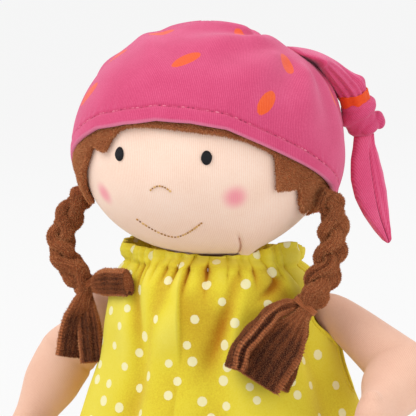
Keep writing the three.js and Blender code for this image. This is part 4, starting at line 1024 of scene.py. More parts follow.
# Tail end: two layers of jersey sewn together down the middle, swelling below the knot and running to a
# point. The ribs slant away from the seam on both sides.
tail_root = tail_at + tail_down * (knot_top + knot_high - 1)
tail_long, tail_half, tail_thick, tail_sweep = 50, 9.8, 3.8, 12
share = np.concatenate([np.linspace(0, 0.93, 84), np.linspace(0.94, 1, 12)])
line = tail_root - np.outer(share * tail_long, [0, 0, 1]) + np.outer(tail_sweep * share ** 2, tail_out)
wide_way = tail_out * 0.8 - tail_wide * 0.6
deep_way = np.cross(wide_way, [0, 0, 1])
half_wide = (tail_half
             * np.interp(share, [0, 0.1, 0.2, 0.38, 0.55, 0.72, 0.88, 0.97, 1],
                         [0.52, 0.62, 0.82, 1, 0.98, 0.76, 0.44, 0.22, 0.09]))
half_deep = (tail_thick
             * np.interp(share, [0, 0.15, 0.38, 0.55, 0.72, 0.88, 0.97, 1],
                         [0.95, 0.95, 1, 1, 0.9, 0.75, 0.5, 0.16]))
columns = 96
angle = turns(columns)
flatter = np.sign(np.sin(angle)) * np.abs(np.sin(angle)) ** 0.8
x = half_wide[:, None] * np.cos(angle)
seam = hump(x, 0.6 * np.sin(6 * share)[:, None], 0.75) * smooth(0.03, 0.2, share)[:, None]
side_fold = 0.2 * hump(x / half_wide[:, None], 0.55, 0.16) - 0.14 * hump(x / half_wide[:, None], 0.32, 0.12)
y = half_deep[:, None] * flatter * (1 - 0.42 * seam + side_fold)
rows = sections(line, wide_way, deep_way, x, y)
mesh = ring_mesh("tail end", rows, line[0] + [0, 0, 0.6], line[-1] - [0, 0, 0.35])
side = np.append(x.ravel(), [0, 0])
down = np.append(np.repeat(share * tail_long, columns), [0, tail_long])
lay_cloth(mesh, side + np.sign(side) * down * 0.4, down)
note(mesh, "seam", np.append(seam.ravel(), [0, 0]))
tail_finish, tree, shader = new_cloth("tail jersey", 0.88, 0.5, "FFB8D4")
loops, toned = knitted_tones(tree, "B42C58 E2507E F58CAE", 0.95, 0.8, 0.6, 0.22, 0.4, patch_size=60.0)
sewn = noted(tree, "seam")
line_tone = place(tree, "ShaderNodeMapRange", {0: sewn, 1: 0.7, 2: 0.98})
coat(tree, shader, mix_tone(tree, line_tone.outputs[0], toned.outputs["Color"], linear("8E1240")),
     loops.outputs["Height"], 0.45, 0.0002)
tail_end = finished("cap_tail", mesh, tail_finish, "cap_tail_end", body="cap_tail", slot="cap_jersey")

# Braids: each is three strips of the hair plush, folded with the pile outwards and plaited, bound with brown
# thread where they end. Beyond the thread each folded strip spreads into a cut end.
braid_routes = {
    "left": [[1.092, -0.188, -0.245], [1.112, -0.169, -0.391], [1.119, -0.166, -0.548],
             [1.103, -0.173, -0.698],
             [1.062, -0.194, -0.871], [0.995, -0.235, -1.04], [0.91, -0.285, -1.165]],
    "right": [[-1.065, 0.04, -0.34], [-1.105, 0.024, -0.42], [-1.13, -0.058, -0.5], [-1.192, -0.092, -0.646],
              [-1.23, -0.108, -0.803],
              [-1.155, -0.143, -0.951], [-1.04, -0.155, -1.08], [-0.965, -0.145, -1.165]],
}
fan_turn = math.radians(23)
fan_long = 30
fans = {
    "left": [([[-0.07, -0.33, 0.05], [-0.17, -0.73, 0.18], [-0.3, -1.11, 0.29]], [0.4, 0, -1], 5.2, 2.4, 0),
             ([[-0.23, -0.3, 0.3], [-0.46, -0.62, 0.46], [-0.66, -0.94, 0.56]], [0.74, -0.67, 0.2], 9.8, 2.0,
              0),
             ([[-0.33, 0.0, 0.22], [-0.64, -0.22, 0.43], [-0.9, -0.44, 0.57], [-0.99, -0.72, 0.62]],
              [0.25, 0.25, 1], 6, 3.7, 0)],
    "right": [([[-0.1, -0.2, 0.14], [-0.22, -0.57, 0.22], [-0.3, -0.98, 0.27]], [1, 0, -0.3], 5.6, 2.2, 0),
              ([[0.02, -0.27, 0.25], [0.05, -0.63, 0.37], [0.07, -1.03, 0.44]], [1, 0, 0.2], 5.2, 3.0, 1),
              ([[0.17, 0.14, 0.44], [0.4, 0.24, 0.82], [0.63, 0.3, 1.08]], [0.3, -1, 0.2], 5.6, 2.6, 0)],
}
braid_swing, braid_weave, braid_turns = 3.5, 3.1, 1.4
plaited_share, tie_share, pinch_radius = 0.84, 0.96, 3.1
strip_half_wide, strip_half_thick, pinch_half = 4.7, 3.3, 2.8


def fan_way(across, rise, forwards):
    return np.array([across * math.cos(fan_turn) + forwards * math.sin(fan_turn),
                     across * math.sin(fan_turn) - forwards * math.cos(fan_turn), rise])


def strand_line(side, strand, count):
    """Where a strip runs in its braid, which way is outward there, and how far it has drawn in."""
    line, ways = smooth_line(np.array(braid_routes[side]) * head_wide + head_at, count)
    share = np.linspace(0, 1, count)
    away = line - head_at
    away[:, 2] = 0
    outward = square_to(ways, away)
    across = np.cross(outward, ways)
    angle = full_turn * (braid_turns * np.minimum(share / plaited_share, 1) + strand / 3)
    pinch = smooth(plaited_share, tie_share, share)
    grown_wide = 0.4 + 0.4 * smooth(0, 0.2, share) + 0.3 * smooth(0.4, 0.8, share)
    x = (braid_swing * np.sin(angle) * (1 - pinch) * grown_wide
         + pinch_radius * math.cos(full_turn * strand / 3) * pinch)
    y = (braid_weave * np.sin(2 * angle) * (1 - pinch)
         + pinch_radius * math.sin(full_turn * strand / 3) * pinch)
    tucked = -3.2 * (1 - smooth(0, 0.13, share))
    return line + x[:, None] * across + (y + tucked)[:, None] * outward, outward, pinch, line, ways


strand_count, fan_count, strip_sides = 120, 80, 44
end_points = 2 * strip_sides + 2
edge_rib, strip_round = 1.35, 4
angle = turns(strip_sides)
for side in ("left", "right"):
    for strand in range(3):
        shares, broad, fan_half, fan_thick, folded = fans[side][strand]
        broad = unit(fan_way(*broad))
        line, outward, pinch, spine, _ = strand_line(side, strand, strand_count)
        ways = unit(np.gradient(line, axis=0))
        flat = unit(np.cross(outward, ways))
        if flat[0] @ broad < 0:
            flat = -flat
        wide_way = flat + (broad - flat) * (pinch / 2)[:, None]
        tie_at = spine[-1]
        pinched = line[-1] - tie_at
        loose = [tie_at + pinched]
        for k, s in enumerate(shares):
            loose.append(fan_way(*s) * fan_long + tie_at + pinched * (1 - (k + 1) / 3 if k < 2 else 0))
        fan_line, fan_ways = smooth_line(loose, fan_count)
        line = np.vstack([line, fan_line[1:]])
        ways = np.vstack([ways, fan_ways[1:]])
        wide_way = np.vstack([wide_way, np.broadcast_to(broad, (fan_count - 1, 3))])
        spread = np.concatenate([np.zeros(strand_count), np.linspace(0, 1, fan_count)[1:]])
        pinch = np.concatenate([pinch, np.ones(fan_count - 1)])
        opened = smooth(0, 0.55, spread)
        run = run_along(line)
        rib_wave = np.cos(full_turn * run / edge_rib)[:, None]
        half_wide = ((strip_half_wide * (1 - pinch) + pinch_half * pinch) * (1 - opened)
                     + fan_half * 1.12 * opened)
        half_deep = (strip_half_thick * (1 - pinch) + pinch_half * pinch) * (1 - opened) + fan_thick * opened
        starting = 0.45 + 0.42 * smooth(0, 20, run) + 0.16 * smooth(40, 80, run)
        half_wide, half_deep = half_wide * starting, half_deep * starting
        opened = opened[:, None]
        wide = square_to(ways, wide_way)
        deep = np.cross(ways, wide)
        x, y = np.cos(angle), np.sign(np.sin(angle)) * np.abs(np.sin(angle)) ** 0.75
        # The folded edges part in a slit, cut piles stand along them, and creases run lengthwise
        slit = hump(np.sin(angle), 0, 0.22) * (np.cos(angle) > 0)
        x = x * (1 - 0.42 * slit * (0.45 + 0.55 * opened))
        crease = 0.2 * hump(np.cos(angle), 0.35, 0.13) + 0.17 * hump(np.cos(angle), -0.4, 0.12)
        y = y * (1 - crease * (1 - 0.9 * opened))
        y = y * (1 - 0.42 * folded * opened * (0.5 - 0.5 * np.cos(3.2 * math.pi * np.cos(angle))))
        edge = hump(np.abs(np.cos(angle)), 0.93, 0.2)[None, :]
        cut = 1 + edge * (0.02 + (0.045 if side == "left" else 0.015) * opened) * rib_wave
        x = x * half_wide[:, None] * cut
        y = y * half_deep[:, None] * cut
        sway = 0.5 * ripple(60 + strand, 9, run[:, None], 3 * angle[None, :])
        rows = sections(line, wide, deep, x, y + sway * np.sign(y))
        last = line[-1]
        rows = np.concatenate([rows, last + (rows[-1:] - last) * 0.72, last + (rows[-1:] - last) * 0.35])
        mesh = ring_mesh("strip", rows, line[0], last)
        cut_edge = np.append((edge * opened).ravel(), np.zeros(end_points))
        # Pale ribs along the cut edges, painted shade in the slit between the folded edges, and a darker tone
        # on the opened faces
        edge_ribs_and_slit_shade = edge * opened * (0.2 + 0.6 * rib_wave) - 1.3 * slit * (0.3 + 0.7 * opened)
        face_tone = -0.8 * opened * (1 - edge)
        ribbed = np.append((edge_ribs_and_slit_shade + face_tone).ravel(), np.zeros(end_points))
        around = np.append(np.tile(angle * strip_round, len(line)), np.full(end_points, 0.4))
        down = np.append(np.repeat(run, strip_sides), np.full(end_points, 1.0))
        lay_cloth(mesh, around, down, full_turn * strip_round)
        note(mesh, "pile", 1 - 0.9 * cut_edge)
        note(mesh, "ribs", ribbed)
        mesh = grown(piling, mesh, density=8e6, tuft_length=0.7 * mm, tuft_radius=0.17 * mm, lean=0.5,
                     seed=70 + strand, finish=plush)
        strip = finished("braid_%s_plush_%d" % (side, strand + 1), mesh, plush,
                         "braid_%s_strip_%d" % (side, strand + 1), slot="hair_plush")
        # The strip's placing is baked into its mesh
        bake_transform(strip)
    _, _, _, spine, spine_ways = strand_line(side, 0, strand_count)
    at = round(tie_share * (strand_count - 1))
    tie_middle, tie_way = spine[at], spine_ways[at]
    first = unit(np.cross(tie_way, [0, 0, 1]))
    second = np.cross(tie_way, first)
    coil = np.linspace(0, 3, 130)
    wound = np.array([tie_middle + tie_way * (c - 1.5) * 0.9
                      + 5.3 * (math.cos(full_turn * c) * first + math.sin(full_turn * c) * second)
                      for c in coil])
    mesh = ring_mesh("tie", *tube(wound, 0.55, 8))
    note(mesh, "tuft", np.full(len(mesh.vertices), 0.35))
    finished("braid_%s_thread" % side, mesh, plush, "braid_%s_tie" % side, body="braid_" + side,
             slot="hair_plush")

# Body: a bag of skin-coloured jersey, widest over the seat and drawn in at the shoulders, stuffed firm. It
# shows only inside the armholes and the neck.
body_half_wide, body_half_deep, body_high, body_neck = 46, 32, 106, 18
body_shares = np.array([
    [0, 0.72, 0.64], [0.03, 0.86, 0.82], [0.1, 0.95, 0.93], [0.22, 1, 1], [0.38, 0.98, 1], [0.55, 0.94, 0.97],
    [0.7, 0.915, 0.94], [0.82, 0.905, 0.92], [0.9, 0.89, 0.88], [0.95, 0.85, 0.82], [0.98, 0.76, 0.72],
])
body_columns = 160
angle = turns(body_columns)


def body_ring(share, wall):
    wide = body_half_wide * np.interp(share, body_shares[:, 0], body_shares[:, 1]) - wall
    deep = body_half_deep * np.interp(share, body_shares[:, 0], body_shares[:, 2]) - wall
    seam = 0.7 * hump(wrapped(angle), 0, 0.04) + 0.7 * hump(wrapped(angle - math.pi), 0, 0.04)
    return standing_ring(angle, wide - seam, deep - seam, share * body_high + wall * (1 - 2 * share))


shares = np.linspace(0, 0.98, 60)
rows = [body_ring(s, 0) for s in shares]
rows += [standing_ring(angle, body_neck, body_neck, high) for high in (body_high, body_high - jersey)]
rows += [body_ring(s, jersey) for s in shares[::-3]]
mesh = ring_mesh("body", rows, [0, 0, 0], [0, 0, jersey])
at = at_points(mesh)
turn = np.arctan2(at[:, 0], -at[:, 1])
body_round = 40
lay_cloth(mesh, turn * body_round, at[:, 2], full_turn * body_round)
skin_plain = jersey_finish("skin jersey", "D69C82 F2C8AE FADCC8", 0.9)
body_piece = finished("body_jersey", mesh, skin_plain, "body_skin", body="torso", slot="skin_jersey")

# Inside the skins: loose polyester stuffing in body and head, and a stuffed jersey neck stub that is sewn
# into the head.
stuffing_finish, tree, shader = new_cloth("white stuffing", 0.95, 0.3, "FFFFFF")
toned = tones_in(tree, "C9C6BE EFEDE6 FAF9F5", shade=0.55, patch_size=90.0, speck_size=900.0)
coat(tree, shader, toned.outputs["Color"], toned.outputs["Fuzz"], 0.7, 0.0008)


def from_solids(*nodes):
    """A work mesh of CAD solids, joined where they touch."""
    work = bmesh.new()
    for node in nodes:
        work.from_mesh(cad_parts[node].data)
    bmesh.ops.remove_doubles(work, verts=work.verts, dist=1e-6)
    return work


for node, body, fill in (("body_filling", "torso", 0.8), ("head_filling", "head", 0.95)):
    mesh = melted(node, from_solids(node), 1.6, 6)
    at = at_points(mesh)
    push(mesh, 0.5 * (ripple(91, 14, *at.T) - 0.9))
    stuffing = finished(node.replace("filling", "stuffing"), mesh, stuffing_finish, node, body=body,
                        slot="stuffing")


def limb_cloth(mesh, joints, round_half):
    """Lays jersey along a limb: its ribs run along the line of joints."""
    at = at_points(mesh)
    joints = np.asarray(joints, dtype=float)
    best, along, angle = np.full(len(at), 1e9), np.zeros(len(at)), np.zeros(len(at))
    start = 0.0
    for first, last in zip(joints, joints[1:]):
        way = last - first
        length = np.linalg.norm(way)
        way /= length
        side = unit(np.cross(way, [0, 0.02, 1]))
        over = np.cross(side, way)
        run = np.clip((at - first) @ way, 0 if start else -1e3, length if last is not joints[-1] else 1e3)
        off = at - first - np.clip(run, 0, length)[:, None] * way
        far = np.linalg.norm(off, axis=1)
        near = far < best
        best[near], along[near] = far[near], (start + run)[near]
        angle[near] = np.arctan2(off @ over, off @ side)[near]
        start += length
    lay_cloth(mesh, angle * round_half, along, full_turn * round_half)
    return at, along, angle


mesh = melted("neck", from_solids("neck_plug"), 0.9, 6)
limb_cloth(mesh, [[-2, -5, 90], [-2, -5, 118]], 11)
neck = finished("neck_stub", mesh, skin_plain, "neck_plug", body="neck", slot="skin_jersey")

# Dress: yellow cotton with cream dots, gathered on elastic at the neck under a standing ruffle, flaring to a
# turned hem. The armholes are slits with a bound edge.
dress_high, dress_half_wide, dress_half_deep, ruffle_rise, header = 115, 74, 66, 1.0, 8.5
dress_hem, dress_front, fold_depth, cotton = 2.5, 33.5, 4.5, 1.0
dress_shares = np.array([
    [0, 1, 1, 1], [0.27, 0.9, 0.9, 0.95], [0.42, 0.82, 0.82, 0.8], [0.6, 0.71, 0.71, 0.6],
    [0.75, 0.64, 0.64, 0.4],
    [0.85, 0.6, 0.6, 0.28], [0.9, 0.575, 0.57, 0.2], [0.929, 0.56, 0.555, 0.14], [0.964, 0.57, 0.565, 0.2],
    [1, 0.575, 0.57, 0.25],
])
dress_columns, dress_rows, gathers = 480, 100, 19
fine_rows, fine_share = 30, 0.14
dress_round, dress_long = 73, 118


def gather_level(turn):
    """The height where the elastic draws the cloth in."""
    return dress_high - header + ruffle_rise * np.cos(turn) + 1.9 * hump(wrapped(turn - 0.3), 0, 0.75)


def dress_top(turn):
    """The ruffle's edge: pressed down by the chin, high at the doll's left, slack behind."""
    uneven = (3.5 * hump(wrapped(turn - 1.35), 0, 0.4) - 5 * hump(wrapped(turn - 2.6), 0, 0.65)
              - 2.7 * hump(wrapped(turn - 0.3), 0, 0.55))
    return dress_high + ruffle_rise * np.cos(turn) + uneven


def dress_bottom(turn):
    """The hem's height: near the floor behind, raised over the thighs in front."""
    return dress_hem + (dress_front - dress_hem) * smooth(0.15, 0.6, np.cos(turn))


def dress_sheet(turn, row_share, wall=0):
    """Places on the dress in mm, and how deep each lies in a fold, which the material turns into painted
    shade.
    """
    turn, row_share = np.broadcast_arrays(turn, row_share)
    facing = np.cos(turn)
    top = dress_top(turn)
    height = top + (dress_bottom(turn) - top) * row_share
    share = np.clip((height - ruffle_rise * facing * smooth(40, 90, height)) / dress_high, 0, 1)
    wide, deep, fold = (np.interp(share, dress_shares[:, 0], dress_shares[:, i]) for i in (1, 2, 3))
    main = 0.62 * np.cos(7 * turn + 0.9) + 0.38 * (1 - row_share / 2) * np.cos(12 * turn)
    below = gather_level(turn) - height
    # Gathers of uneven width: round rolls with sharp slanting tucks between, some running on as soft folds
    slant = (1.1 * np.sin(3 * turn + 1) + 0.9 * np.sin(8 * turn + 3)) * np.clip(below + 3, 0, 40) / 13
    waver = 1.5 * np.sin(2 * turn + 0.6) + 1.1 * np.sin(5 * turn + 2) + 0.6 * np.sin(11 * turn) + slant
    rolls = np.abs(np.sin(gathers * turn + waver)) ** 0.7 - 0.65
    strong = np.clip(0.75 + 0.5 * np.sin(4 * turn + 1.3) + 0.4 * np.sin(9 * turn + 0.4), 0.25, 1.5)
    broad = np.cos(0.5 * gathers * turn + waver * 0.7 + 0.5)
    wide_fold = np.cos(8 * turn + 0.6 * np.sin(3 * turn) + 0.9 + 0.3 * slant)
    puffs = np.abs(np.sin(0.66 * gathers * turn + waver)) ** 0.6 - 0.7
    ruffle = (smooth(-0.5, 3, -below) * (1.2 * rolls + 2.6 * (0.6 + 0.4 * strong) * puffs + 1.3)
              - 1.8 * smooth(5, 9, -below))
    reach = 5 + 8 * strong
    drawn = (3.0 * (0.3 + 0.7 * strong) * rolls * (1 - smooth(2, reach, below))
             + 1.2 * broad * (1 - smooth(14, 50, below))) * smooth(-2, 2, below)
    puffed = 3.2 * smooth(-1, 9, below) * (1 - smooth(14, 52, below)) + 2.1 * wide_fold * smooth(8, 30, below)
    groove = -0.4 * hump(below, 0, 1.6)
    pinched = -2.0 * hump(rolls, -0.65, 0.25) * hump(below, 0.8, 3.5) * strong
    swell = fold_depth * fold * main * 0.6
    # A long soft fold down the front, a deeper crease beside it, and slack cloth pushed into shallow dents
    lean = (95 - height) / 60
    front_fold = (2.0 * hump(wrapped(turn - math.radians(20) + 0.3 * lean), 0, 0.2) * smooth(3, 18, below)
                  * (1 - 0.3 * lean))
    crease = (-3.2 * hump(wrapped(turn - 0.47 + 0.5 * lean), 0, 0.075) * smooth(-3, 4, below)
              * (1 - smooth(22, 52, below)))
    crease = (crease
              - 2.6 * hump(height, 98 + (wrapped(turn) - 0.83) * 23, 1.7) * hump(wrapped(turn), 0.96, 0.17))
    slumped = (2.6 * hump(wrapped(turn), 0.75, 0.13) * hump(height, 106, 4.5)
               + 2.0 * hump(wrapped(turn), 0.95, 0.2) * hump(height, 93, 4))
    soft = 1.0 * ripple(23, 34, turn * 55, height * 0.8) * smooth(6, 24, below)
    tucked_in = (-10.0 * smooth(-0.5, 4, -below) * hump(wrapped(turn - 0.3), 0, 0.8)
                 - 2.5 * hump(wrapped(turn - 1.75), 0, 0.5) * smooth(-6, 2, -below))
    swell = (swell + tucked_in + ruffle + drawn + puffed + groove + pinched + front_fold + crease + slumped
             + soft)
    # The fold depth is painted as shade: deeper ochre in tucks, creases and folds, paler on the rolls and
    # crests.
    depth = (drawn + groove + pinched + 0.85 * crease + 0.5 * ruffle + 0.5 * wide_fold * smooth(8, 30, below)
             + 0.5 * soft - 0.5)
    towards_head = smooth(55, dress_high, height)
    ring = standing_ring(turn, dress_half_wide * wide + swell - wall, dress_half_deep * deep + swell - wall,
                         height)
    return ring - towards_head[..., None] * [3, 2, 0], depth


turn_at = turns(dress_columns)
row_shares = np.concatenate([np.linspace(0, fine_share, fine_rows, endpoint=False),
                             np.linspace(fine_share, 1, dress_rows - fine_rows)])
places, depth = dress_sheet(turn_at[None, :], row_shares[:, None])

armhole_low, armhole_top, armhole_half, shoulder_back = 50, 101, 12.5, 2


def armhole_line(count):
    """The armhole's outline from the side, as places back and up: round the arm, then a slit below it."""
    rise = (1 - np.cos(np.linspace(0, math.pi, 2 * count))) / 2
    half = 1.3 + 0.9 * hump(rise, 0.28, 0.2) + (armhole_half - 1.3) * smooth(0.36, 0.68, rise)
    half = (half * np.sqrt(np.clip(1 - np.clip((rise - 0.72) / 0.28, 0, 1) ** 2, 0, 1))
            * np.sqrt(np.clip(rise / 0.02, 0, 1)))
    height = armhole_low + (armhole_top - armhole_low) * rise
    front = np.column_stack([shoulder_back - half, height])
    rear = np.column_stack([shoulder_back + half, height])
    return np.vstack([front, rear[-2:0:-1]])


def inside_line(outline, y, z):
    crossings = np.zeros(y.shape, dtype=int)
    for (y0, z0), (y1, z1) in zip(outline, np.roll(outline, -1, axis=0)):
        spans = (z0 > z) != (z1 > z)
        rise = z1 - z0 if abs(z1 - z0) > 1e-9 else 1e-9
        crossings += spans & (y < y0 + (z - z0) * (y1 - y0) / rise)
    return crossings % 2 == 1


outline = armhole_line(40)
cut_out = inside_line(outline, places[..., 1], places[..., 2]) & (np.abs(places[..., 0]) > 23)
j = np.arange(dress_columns)
k = (j + 1) % dress_columns
faces, rim = [], set()
for i in range(dress_rows - 1):
    corner = np.column_stack([i * dress_columns + j, (i + 1) * dress_columns + j, (i + 1) * dress_columns + k,
                              i * dress_columns + k])
    gone = cut_out.ravel()[corner].any(axis=1)
    faces += corner[~gone].tolist()
    rim.update(corner[gone][~cut_out.ravel()[corner[gone]]].tolist())
flat_places = places.reshape(-1, 3).copy()
for one in rim:
    near = outline[np.argmin(((outline - flat_places[one, 1:]) ** 2).sum(axis=1))]
    flat_places[one, 1:] = near
used = np.unique(np.array(faces))
renumbered = np.full(len(flat_places), -1)
renumbered[used] = np.arange(len(used))
mesh = bpy.data.meshes.new("dress")
mesh.from_pydata((flat_places[used] * mm).tolist(), [], renumbered[np.array(faces)].tolist())
mesh = turned_out(mesh)
around = np.tile(turn_at * dress_round, dress_rows)[used]
down = np.repeat(row_shares * dress_long, dress_columns)[used]
lay_cloth(mesh, around, down, full_turn * dress_round)

# Cream dots, printed in loose staggered rows
dot_rng = np.random.default_rng(12)
dot_radius, dot_apart, dress_girth = 2.15, 17, full_turn * 70
dot_depth = np.full(len(used), -9.0)
at = flat_places[used]
for row, row_share in enumerate(np.arange(0.03, 1.0, 0.104)):
    girth = dress_girth * np.interp(1 - row_share, dress_shares[:, 0], dress_shares[:, 1])
    count = round(girth / dot_apart)
    for i in range(count):
        t = (i + 0.5 * (row % 2) + dot_rng.uniform(-0.24, 0.24)) / count * full_turn
        dot_at = dress_sheet(t, row_share + dot_rng.uniform(-0.024, 0.024))[0]
        far = np.sqrt(((at - dot_at) ** 2).sum(axis=1))
        dot_depth = np.maximum(dot_depth, dot_radius * dot_rng.uniform(0.85, 1.12) - far)
note(mesh, "dots", dot_depth)
# Fold depth, for the shade painted into the dress's colour
note(mesh, "fold", depth.ravel()[used])

dress_finish, tree, shader = new_cloth("dotted yellow cotton", 0.85, 0.2, "FFF6B0")
flat = place(tree, "ShaderNodeUVMap", uv_map="cloth")
split = place(tree, "ShaderNodeSeparateXYZ", {0: flat.outputs[0]})
thread_apart = 0.45
warp, weft = (calc(tree, "SINE", calc(tree, "MULTIPLY", split.outputs[i], full_turn / thread_apart))
              for i in (0, 1))
weave = calc(tree, "MULTIPLY_ADD", calc(tree, "MULTIPLY", warp, weft), 0.5, 0.5)
# Painted shade and painted light: the cloth is deeper ochre in its folds and tucks and paler on its crests.
painted_fold_shade = noted(tree, "fold")
shade = place(tree, "ShaderNodeMapRange", {0: painted_fold_shade, 1: -3.8, 2: 2.0, 3: -0.1, 4: 0.88})
toned = tones_in(tree, "B87804 E6D436 F0E468",
                 shade=calc(tree, "MULTIPLY_ADD", weave, 0.06, shade.outputs[0]), patch_size=40.0)
dotted = noted(tree, "dots")
ragged = calc(tree, "MULTIPLY_ADD", calc(tree, "SUBTRACT", toned.outputs["Fuzz"], 0.5), 0.35, dotted)
ink = place(tree, "ShaderNodeMapRange", {0: ragged, 1: -0.1, 2: 0.16, 3: 0.0, 4: 0.86})
coat(tree, shader, mix_tone(tree, ink.outputs[0], toned.outputs["Color"], linear("F6F2C4")),
     calc(tree, "MULTIPLY_ADD", toned.outputs["Fuzz"], 0.5, weave), 0.35, 0.00008)
dress = finished("dotted_dress", mesh, dress_finish, "dress", body="torso", slot="dress_cotton")
wall = dress.modifiers.new("cloth", "SOLIDIFY")
wall.thickness, wall.offset = cotton * mm, -1
binding_sides, binding_round = 12, 1.2
for side, name in ((1, "left"), (-1, "right")):
    fine = armhole_line(60)
    radius_y = dress_half_deep * np.interp(fine[:, 1] / dress_high, dress_shares[:, 0], dress_shares[:, 2])
    turn = np.arccos(np.clip(-fine[:, 0] / radius_y, -1, 1)) * side
    for _ in range(4):
        top = dress_top(turn)
        row_share = (top - fine[:, 1]) / (top - dress_bottom(turn))
        got = dress_sheet(turn, row_share)[0]
        turn = turn + side * (fine[:, 0] - got[:, 1]) / 42
    rim_line = dress_sheet(turn, row_share, 0.5)[0]
    rows = tube_rows(np.vstack([rim_line, rim_line[:1]]), 0.95, binding_sides)[:-1]
    mesh = ring_mesh("binding", rows, ring=True)
    lay_cloth(mesh, np.tile(turns(binding_sides) * binding_round, len(rows)),
              np.repeat(np.arange(len(rows)) * 0.7, binding_sides), full_turn * binding_round)
    note(mesh, "dots", np.full(len(mesh.vertices), -9.0))
    # An even middle level of the painted fold shade
    note(mesh, "fold", np.full(len(mesh.vertices), -0.6))
    finished("armhole_binding_" + name, mesh, dress_finish, body="torso",
                             slot="dress_cotton")

# Elastic: a narrow woven elastic band, sewn to a ring inside the neckline, where it draws the gathers in.
# It doesn't show from outside.
elastic_finish, tree, shader = new_cloth("white elastic", 0.7, 0.2, "FFFFFF")
loops, toned = knitted_tones(tree, "C8C6BC F0EFE8 FBFAF6", 0.6, 0.5, 0.1, 0.25, 0.4)
coat(tree, shader, toned.outputs["Color"], loops.outputs["Height"], 0.4, 0.0001)
elastic_columns, elastic_round = 300, 6.6
angle = turns(elastic_columns)
level = gather_level(angle) - 2
reach = np.interp(level / dress_high, dress_shares[:, 0], dress_shares[:, 1])
rows = []
for off, rise in ((4.6, -1.1), (4.4, 0), (4.6, 1.1), (5.6, 1.1), (5.8, 0), (5.6, -1.1)):
    waver = 0.2 * np.cos(gathers * angle) - off - 2 * hump(wrapped(angle - 1.75), 0, 0.5)
    wide, deep = dress_half_wide * reach + waver, dress_half_deep * reach + waver
    rows.append(standing_ring(angle, wide, deep, level + rise) - [2.7, 1.8, 0])
mesh = ring_mesh("elastic", rows, ring=True)
lay_cloth(mesh, np.repeat(np.arange(len(rows)) * elastic_round / len(rows), elastic_columns),
          np.tile(angle * body_round, len(rows)), elastic_round)
finished("neckline_elastic", mesh, elastic_finish, "neck_elastic", body="torso", slot="elastic")

# Arms: jersey tubes stuffed soft, with a seam along the underside and a tuck sewn at the elbow, ending in a
# mitten hand with a thumb.
arm_ways = {"left": (1, 32, 5, 16, 90), "right": (-1, 42, 0, 57, 50)}
shoulder_reach, shoulder_height, upper_long, fore_long = 50.82, 87, 45, 50
arm_lean = {"left": -2.5, "right": 5.0}
arm_skin = jersey_finish("arm jersey", "D49A82 EEBFA6 F6D2BE", 0.6)


def arm_way(side, drop, forwards):
    drop, forwards = math.radians(drop), math.radians(forwards)
    return np.array([side * math.cos(drop) * math.cos(forwards), -math.cos(drop) * math.sin(forwards),
                     -math.sin(drop)])


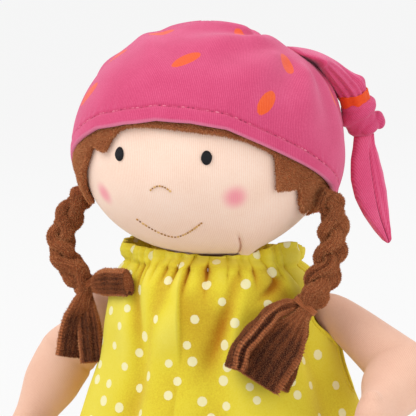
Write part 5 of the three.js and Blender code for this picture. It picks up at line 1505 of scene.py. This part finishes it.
for name, (side, drop, forwards, fore_drop, fore_forwards) in arm_ways.items():
    shoulder = np.array([side * shoulder_reach, shoulder_back, shoulder_height])
    upper_way, fore_way = arm_way(side, drop, forwards), arm_way(side, fore_drop, fore_forwards)
    elbow = shoulder + upper_way * upper_long + [arm_lean[name], 0, 0]
    hand_end = elbow + fore_way * (fore_long + 12)
    near_elbow = [elbow - upper_way * 7, elbow - upper_way * 1.5 + fore_way * 1.5, elbow + fore_way * 7]
    line, ways = smooth_line([shoulder - upper_way * 6, shoulder + upper_way * 14, *near_elbow,
                              hand_end - fore_way * 12], 90)
    share = np.linspace(0, 1, 90)
    radii = np.interp(share, [0, 0.05, 0.1, 0.3, 0.5, 0.66, 0.84, 0.93, 1],
                      [5, 7.6, 8.8, 11.4, 14.2, 13.6, 10.6, 10.6, 9.6])
    across = unit(np.cross(fore_way, [side, 0, 0]))
    flatness = np.interp(share, [0, 0.7, 0.9, 1], [1, 1, 0.74, 0.7])
    tubes = [(tube_rows(line, radii, 48, np.cross(across, fore_way), flatness), line[0],
              hand_end - fore_way * 5)]
    thumb_from = elbow + fore_way * (fore_long * 0.82) + across * 5
    thumb_way = fore_way * 0.55 + across * 0.8
    thumb = np.array([thumb_from + thumb_way * 9 * s for s in np.linspace(0, 1, 16)])
    tubes.append(tube(thumb, 4.2 * np.sqrt(np.clip(1.05 - np.linspace(0, 1, 16) ** 4, 0.05, 1)), 24))
    mesh = melted("arm", with_rings(bmesh.new(), tubes), 1.0, 8)
    at, along, angle = limb_cloth(mesh, [shoulder, elbow, hand_end], 11)
    tuck = hump(along, upper_long, 1.3) * (0.5 + 0.5 * np.cos(angle + 1.2))
    seam = hump(wrapped(angle + math.pi / 2), 0, 0.09)
    push(mesh, 0.45 * ripple(33, 24, *at.T) - 0.9 * tuck - 0.6 * seam)
    arm = finished("stuffed_arm_" + name, mesh, arm_skin, "upper_arm_" + name, "forearm_" + name,
                   slot="skin_jersey")
    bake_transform(arm)

# Legs: stuffed tubes in dark red jersey leggings, lying forwards with a tuck at the knee, and skin-coloured
# jersey feet sewn on below.
legging_finish = jersey_finish("dark red leggings", "5E1420 8E2233 B4485A", 1.0)
foot_skin = jersey_finish("foot jersey", "D69C82 F2C8AE FADCC8", 0.95)
for name, side in (("left", 1), ("right", -1)):
    hip, knee = np.array([side * 22, -42.05, 14]), np.array([side * 24.8, -97.96, 12.5])
    low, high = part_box("foot_" + name)
    ankle = np.array([(low.x + high.x) / 2, high.y, 11 * mm]) / mm
    knee_line = np.array([knee + [0, 16 - 32 * i / 11, 0.2] for i in range(12)])
    work = with_rings(from_solids("thigh_" + name, "shin_" + name), [tube(knee_line, 11.9, 28)])
    mesh = melted("leg", work, 1.1, 14)
    at, along, angle = limb_cloth(mesh, [hip, knee, ankle], 13)
    seam = hump(wrapped(angle + math.pi / 2), 0, 0.08)
    push(mesh,
         0.4 * ripple(35, 22, *at.T) * (at[:, 2] > 2) - 1.0 * hump(along, 56, 1.2) * (at[:, 2] > 2)
         - 0.5 * seam * (at[:, 2] > 2))
    leg = finished("legging_" + name, mesh, legging_finish, "thigh_" + name, "shin_" + name, slot="leggings")
    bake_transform(leg)
    mesh = melted("foot", from_solids("foot_" + name), 0.9, 12)
    at, along, angle = limb_cloth(mesh, [ankle, ankle + [0, -20, 14]], 12)
    push(mesh, 0.35 * ripple(37, 18, *at.T) * (at[:, 2] > 2))
    foot = finished("stuffed_foot_" + name, mesh, foot_skin, "foot_" + name, body="lower_leg_" + name,
                    slot="skin_jersey")
